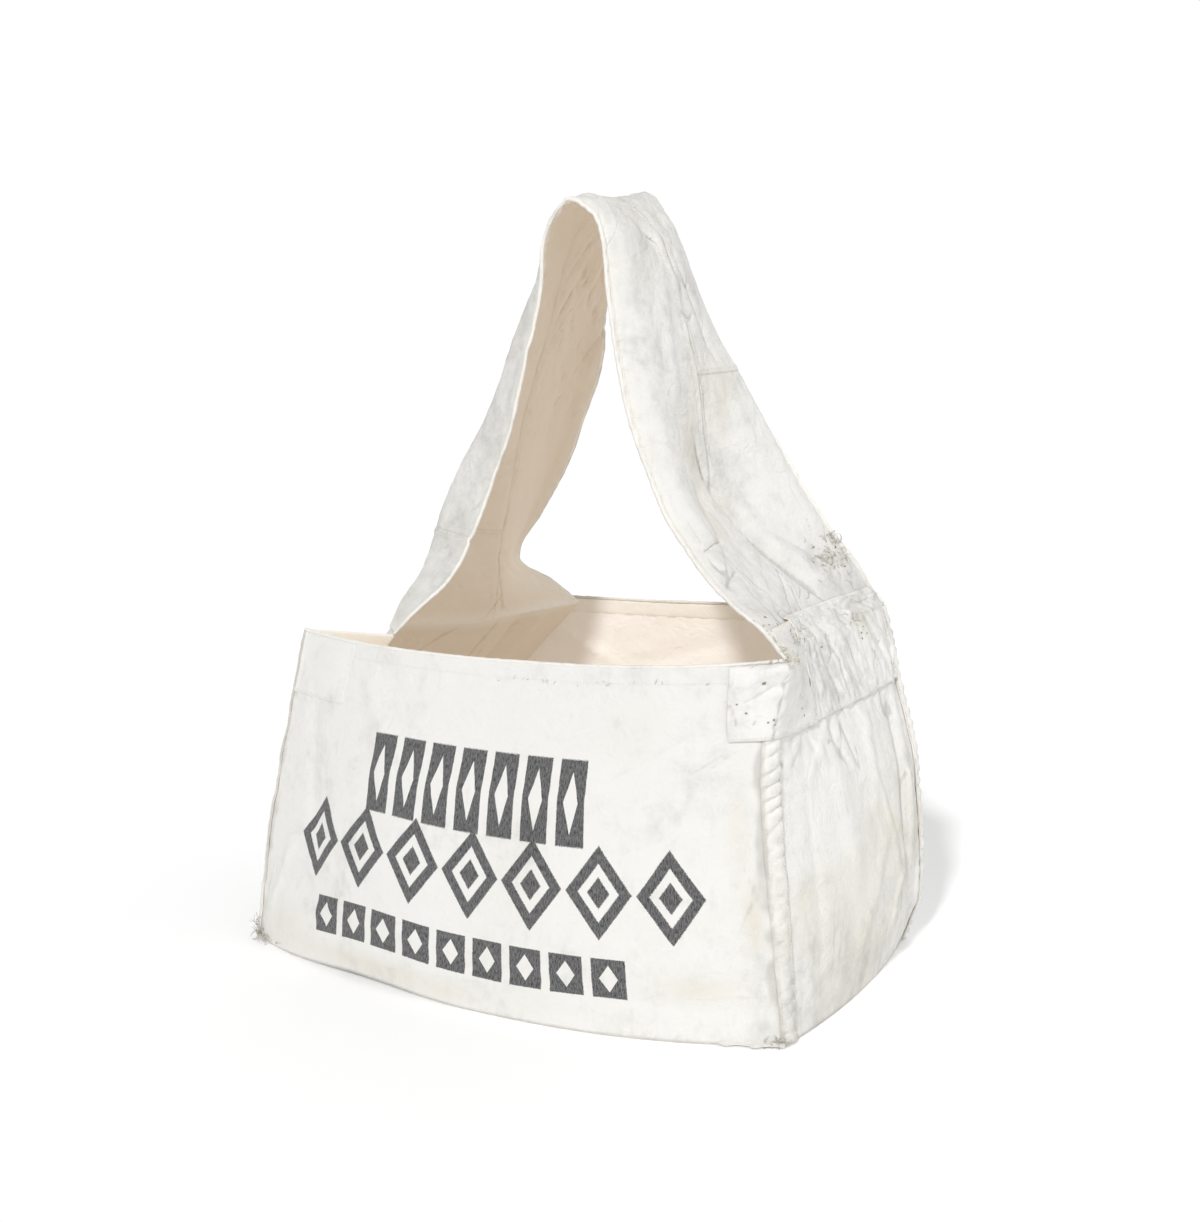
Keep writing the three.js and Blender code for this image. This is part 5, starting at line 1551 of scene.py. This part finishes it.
# %% A torn scrap under the front right corner
SCRAP_WIDTH = 0.013
a, b = pair(spaced(0, 1, 0.04), spaced(0, 1, 0.15))
foot_line, _ = traced("front_cloth", "outer", 0 * a.ravel(), 0.91 + 0.088 * a.ravel())
foot_line = foot_line.reshape(*a.shape, 3) - FOOT_SHIFT
wide = SCRAP_WIDTH * (0.55 + 0.45 * noise(a * 9, 0.5, 211))
scrap = foot_line + xyz(0.2 * b * wide, -(b - 0.25) * wide, 0)
scrap[..., 2] = 0.0004 + 0.0025 * (1 - b) + 0.0012 * np.abs(noise(a * 7, b * 3, 212))
cloth("torn_scrap", scrap, 1, 0.0009, None, 0.45 + 0 * a, inside="seam_cream", outside="seam_cream",
      free=ALL_FREE)
holes("scrap_holes", {"torn_scrap": ((0.5, 0.55, 0.0013), (0.45, 0.75, 0.0016), (0.4, 0.88, 0.0013))})
print(len(made), "pieces in all")

# %% [markdown]
# ## What each piece is
# Every cloth names the CAD node that it stands for, which is hidden, and the rectangle it was cut from is
# measured. Canvas hardly stretches, so that size is measured on the plain surface without its wrinkles.

# %% Riding and replacing
STANDS_FOR = {"front_cloth": "front_panel", "back_cloth": "back_panel", "floor_cloth": "bottom_panel",
              "strap_front_cloth": "strap_front_half", "strap_front_left_cloth": "strap_front_left_end",
              "strap_back_right_cloth": "strap_back_right_end", "strap_back_cloth": "strap_back_half"}
for node_name in ("right_gusset", "left_gusset", "front_hem", "back_hem", "right_base_band",
                  "front_right_patch", "front_left_patch"):
    STANDS_FOR[node_name + "_cloth"] = node_name
for corner in CORNERS:
    STANDS_FOR[corner + "_seam_cloth"] = corner + "_corner_seam"
for piece in made:
    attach(piece, "root")
    if piece.name in STANDS_FOR:
        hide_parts(STANDS_FOR[piece.name])
    if piece.name in cut_of:
        wide, long, area = cut_of[piece.name]

# %% [markdown]
# ## Floor, light and camera
# The photo is a bright studio picture: a white floor and background, a broad bright side on the
# right, and one fairly hard light from the front that throws the shadow behind the bag.

# %% Floor
bpy.ops.object.select_all(action="DESELECT")
bpy.ops.mesh.primitive_plane_add(size=30, location=(0, 0, 0))
ground = bpy.context.object
ground.name = "studio_floor"
new_material("studio_white", Base_Color=(0.95, 0.95, 0.95, 1), Roughness=0.9, Emission_Strength=1.0,
             Emission_Color=(0.10, 0.10, 0.10, 1))
ground.data.materials.append(materials["studio_white"])

# %% Camera
CAMERA_AT = (0.801, -1.457, 0.5836)
CAMERA_DOWN, CAMERA_TURN = 7.64, 28.12  # degrees below the horizon, and round from the front
LENS = 47.31
camera = bpy.data.objects.new("camera", bpy.data.cameras.new("camera"))
bpy.context.collection.objects.link(camera)
camera.location = CAMERA_AT
camera.rotation_euler = (math.radians(90 - CAMERA_DOWN), 0, math.radians(CAMERA_TURN))
camera.data.lens = LENS
camera.data.sensor_width = 36
bpy.context.scene.camera = camera

# %% Light
SUN_FROM = Vector((0.12, -1.0, 0.72))
SUN_ENERGY, SUN_ANGLE = 1.95, 5
AMBIENT, SIDE_GLOW, BACK_GLOW = 0.24, 0.74, 1.02
key = bpy.data.objects.new("key", bpy.data.lights.new("key", "SUN"))
bpy.context.collection.objects.link(key)
key.data.energy = SUN_ENERGY
key.data.angle = math.radians(SUN_ANGLE)
key.rotation_euler = (-SUN_FROM).to_track_quat("-Z", "Y").to_euler()

world = bpy.data.worlds.new("studio")
world.use_nodes = True
sky = world.node_tree
toward = node(sky, "ShaderNodeSeparateXYZ", {"Vector": node(sky, "ShaderNodeTexCoord").outputs["Generated"]})
east, north, up = toward.outputs
right_glow = ramp(sky, plus(sky, east, times(sky, up, 0.3)), -0.1, 1.0)
behind = ramp(sky, plus(sky, times(sky, north, 0.88), times(sky, east, -0.47)), 0.35, 0.7)
level = plus(sky, AMBIENT, times(sky, right_glow, SIDE_GLOW))
background = sky.nodes["Background"].inputs
sky.links.new(maths(sky, "MAXIMUM", level, times(sky, behind, BACK_GLOW)), background[1])
background[0].default_value = (1, 1, 1, 1)
bpy.context.scene.world = world
bpy.context.scene.view_settings.view_transform = "Standard"
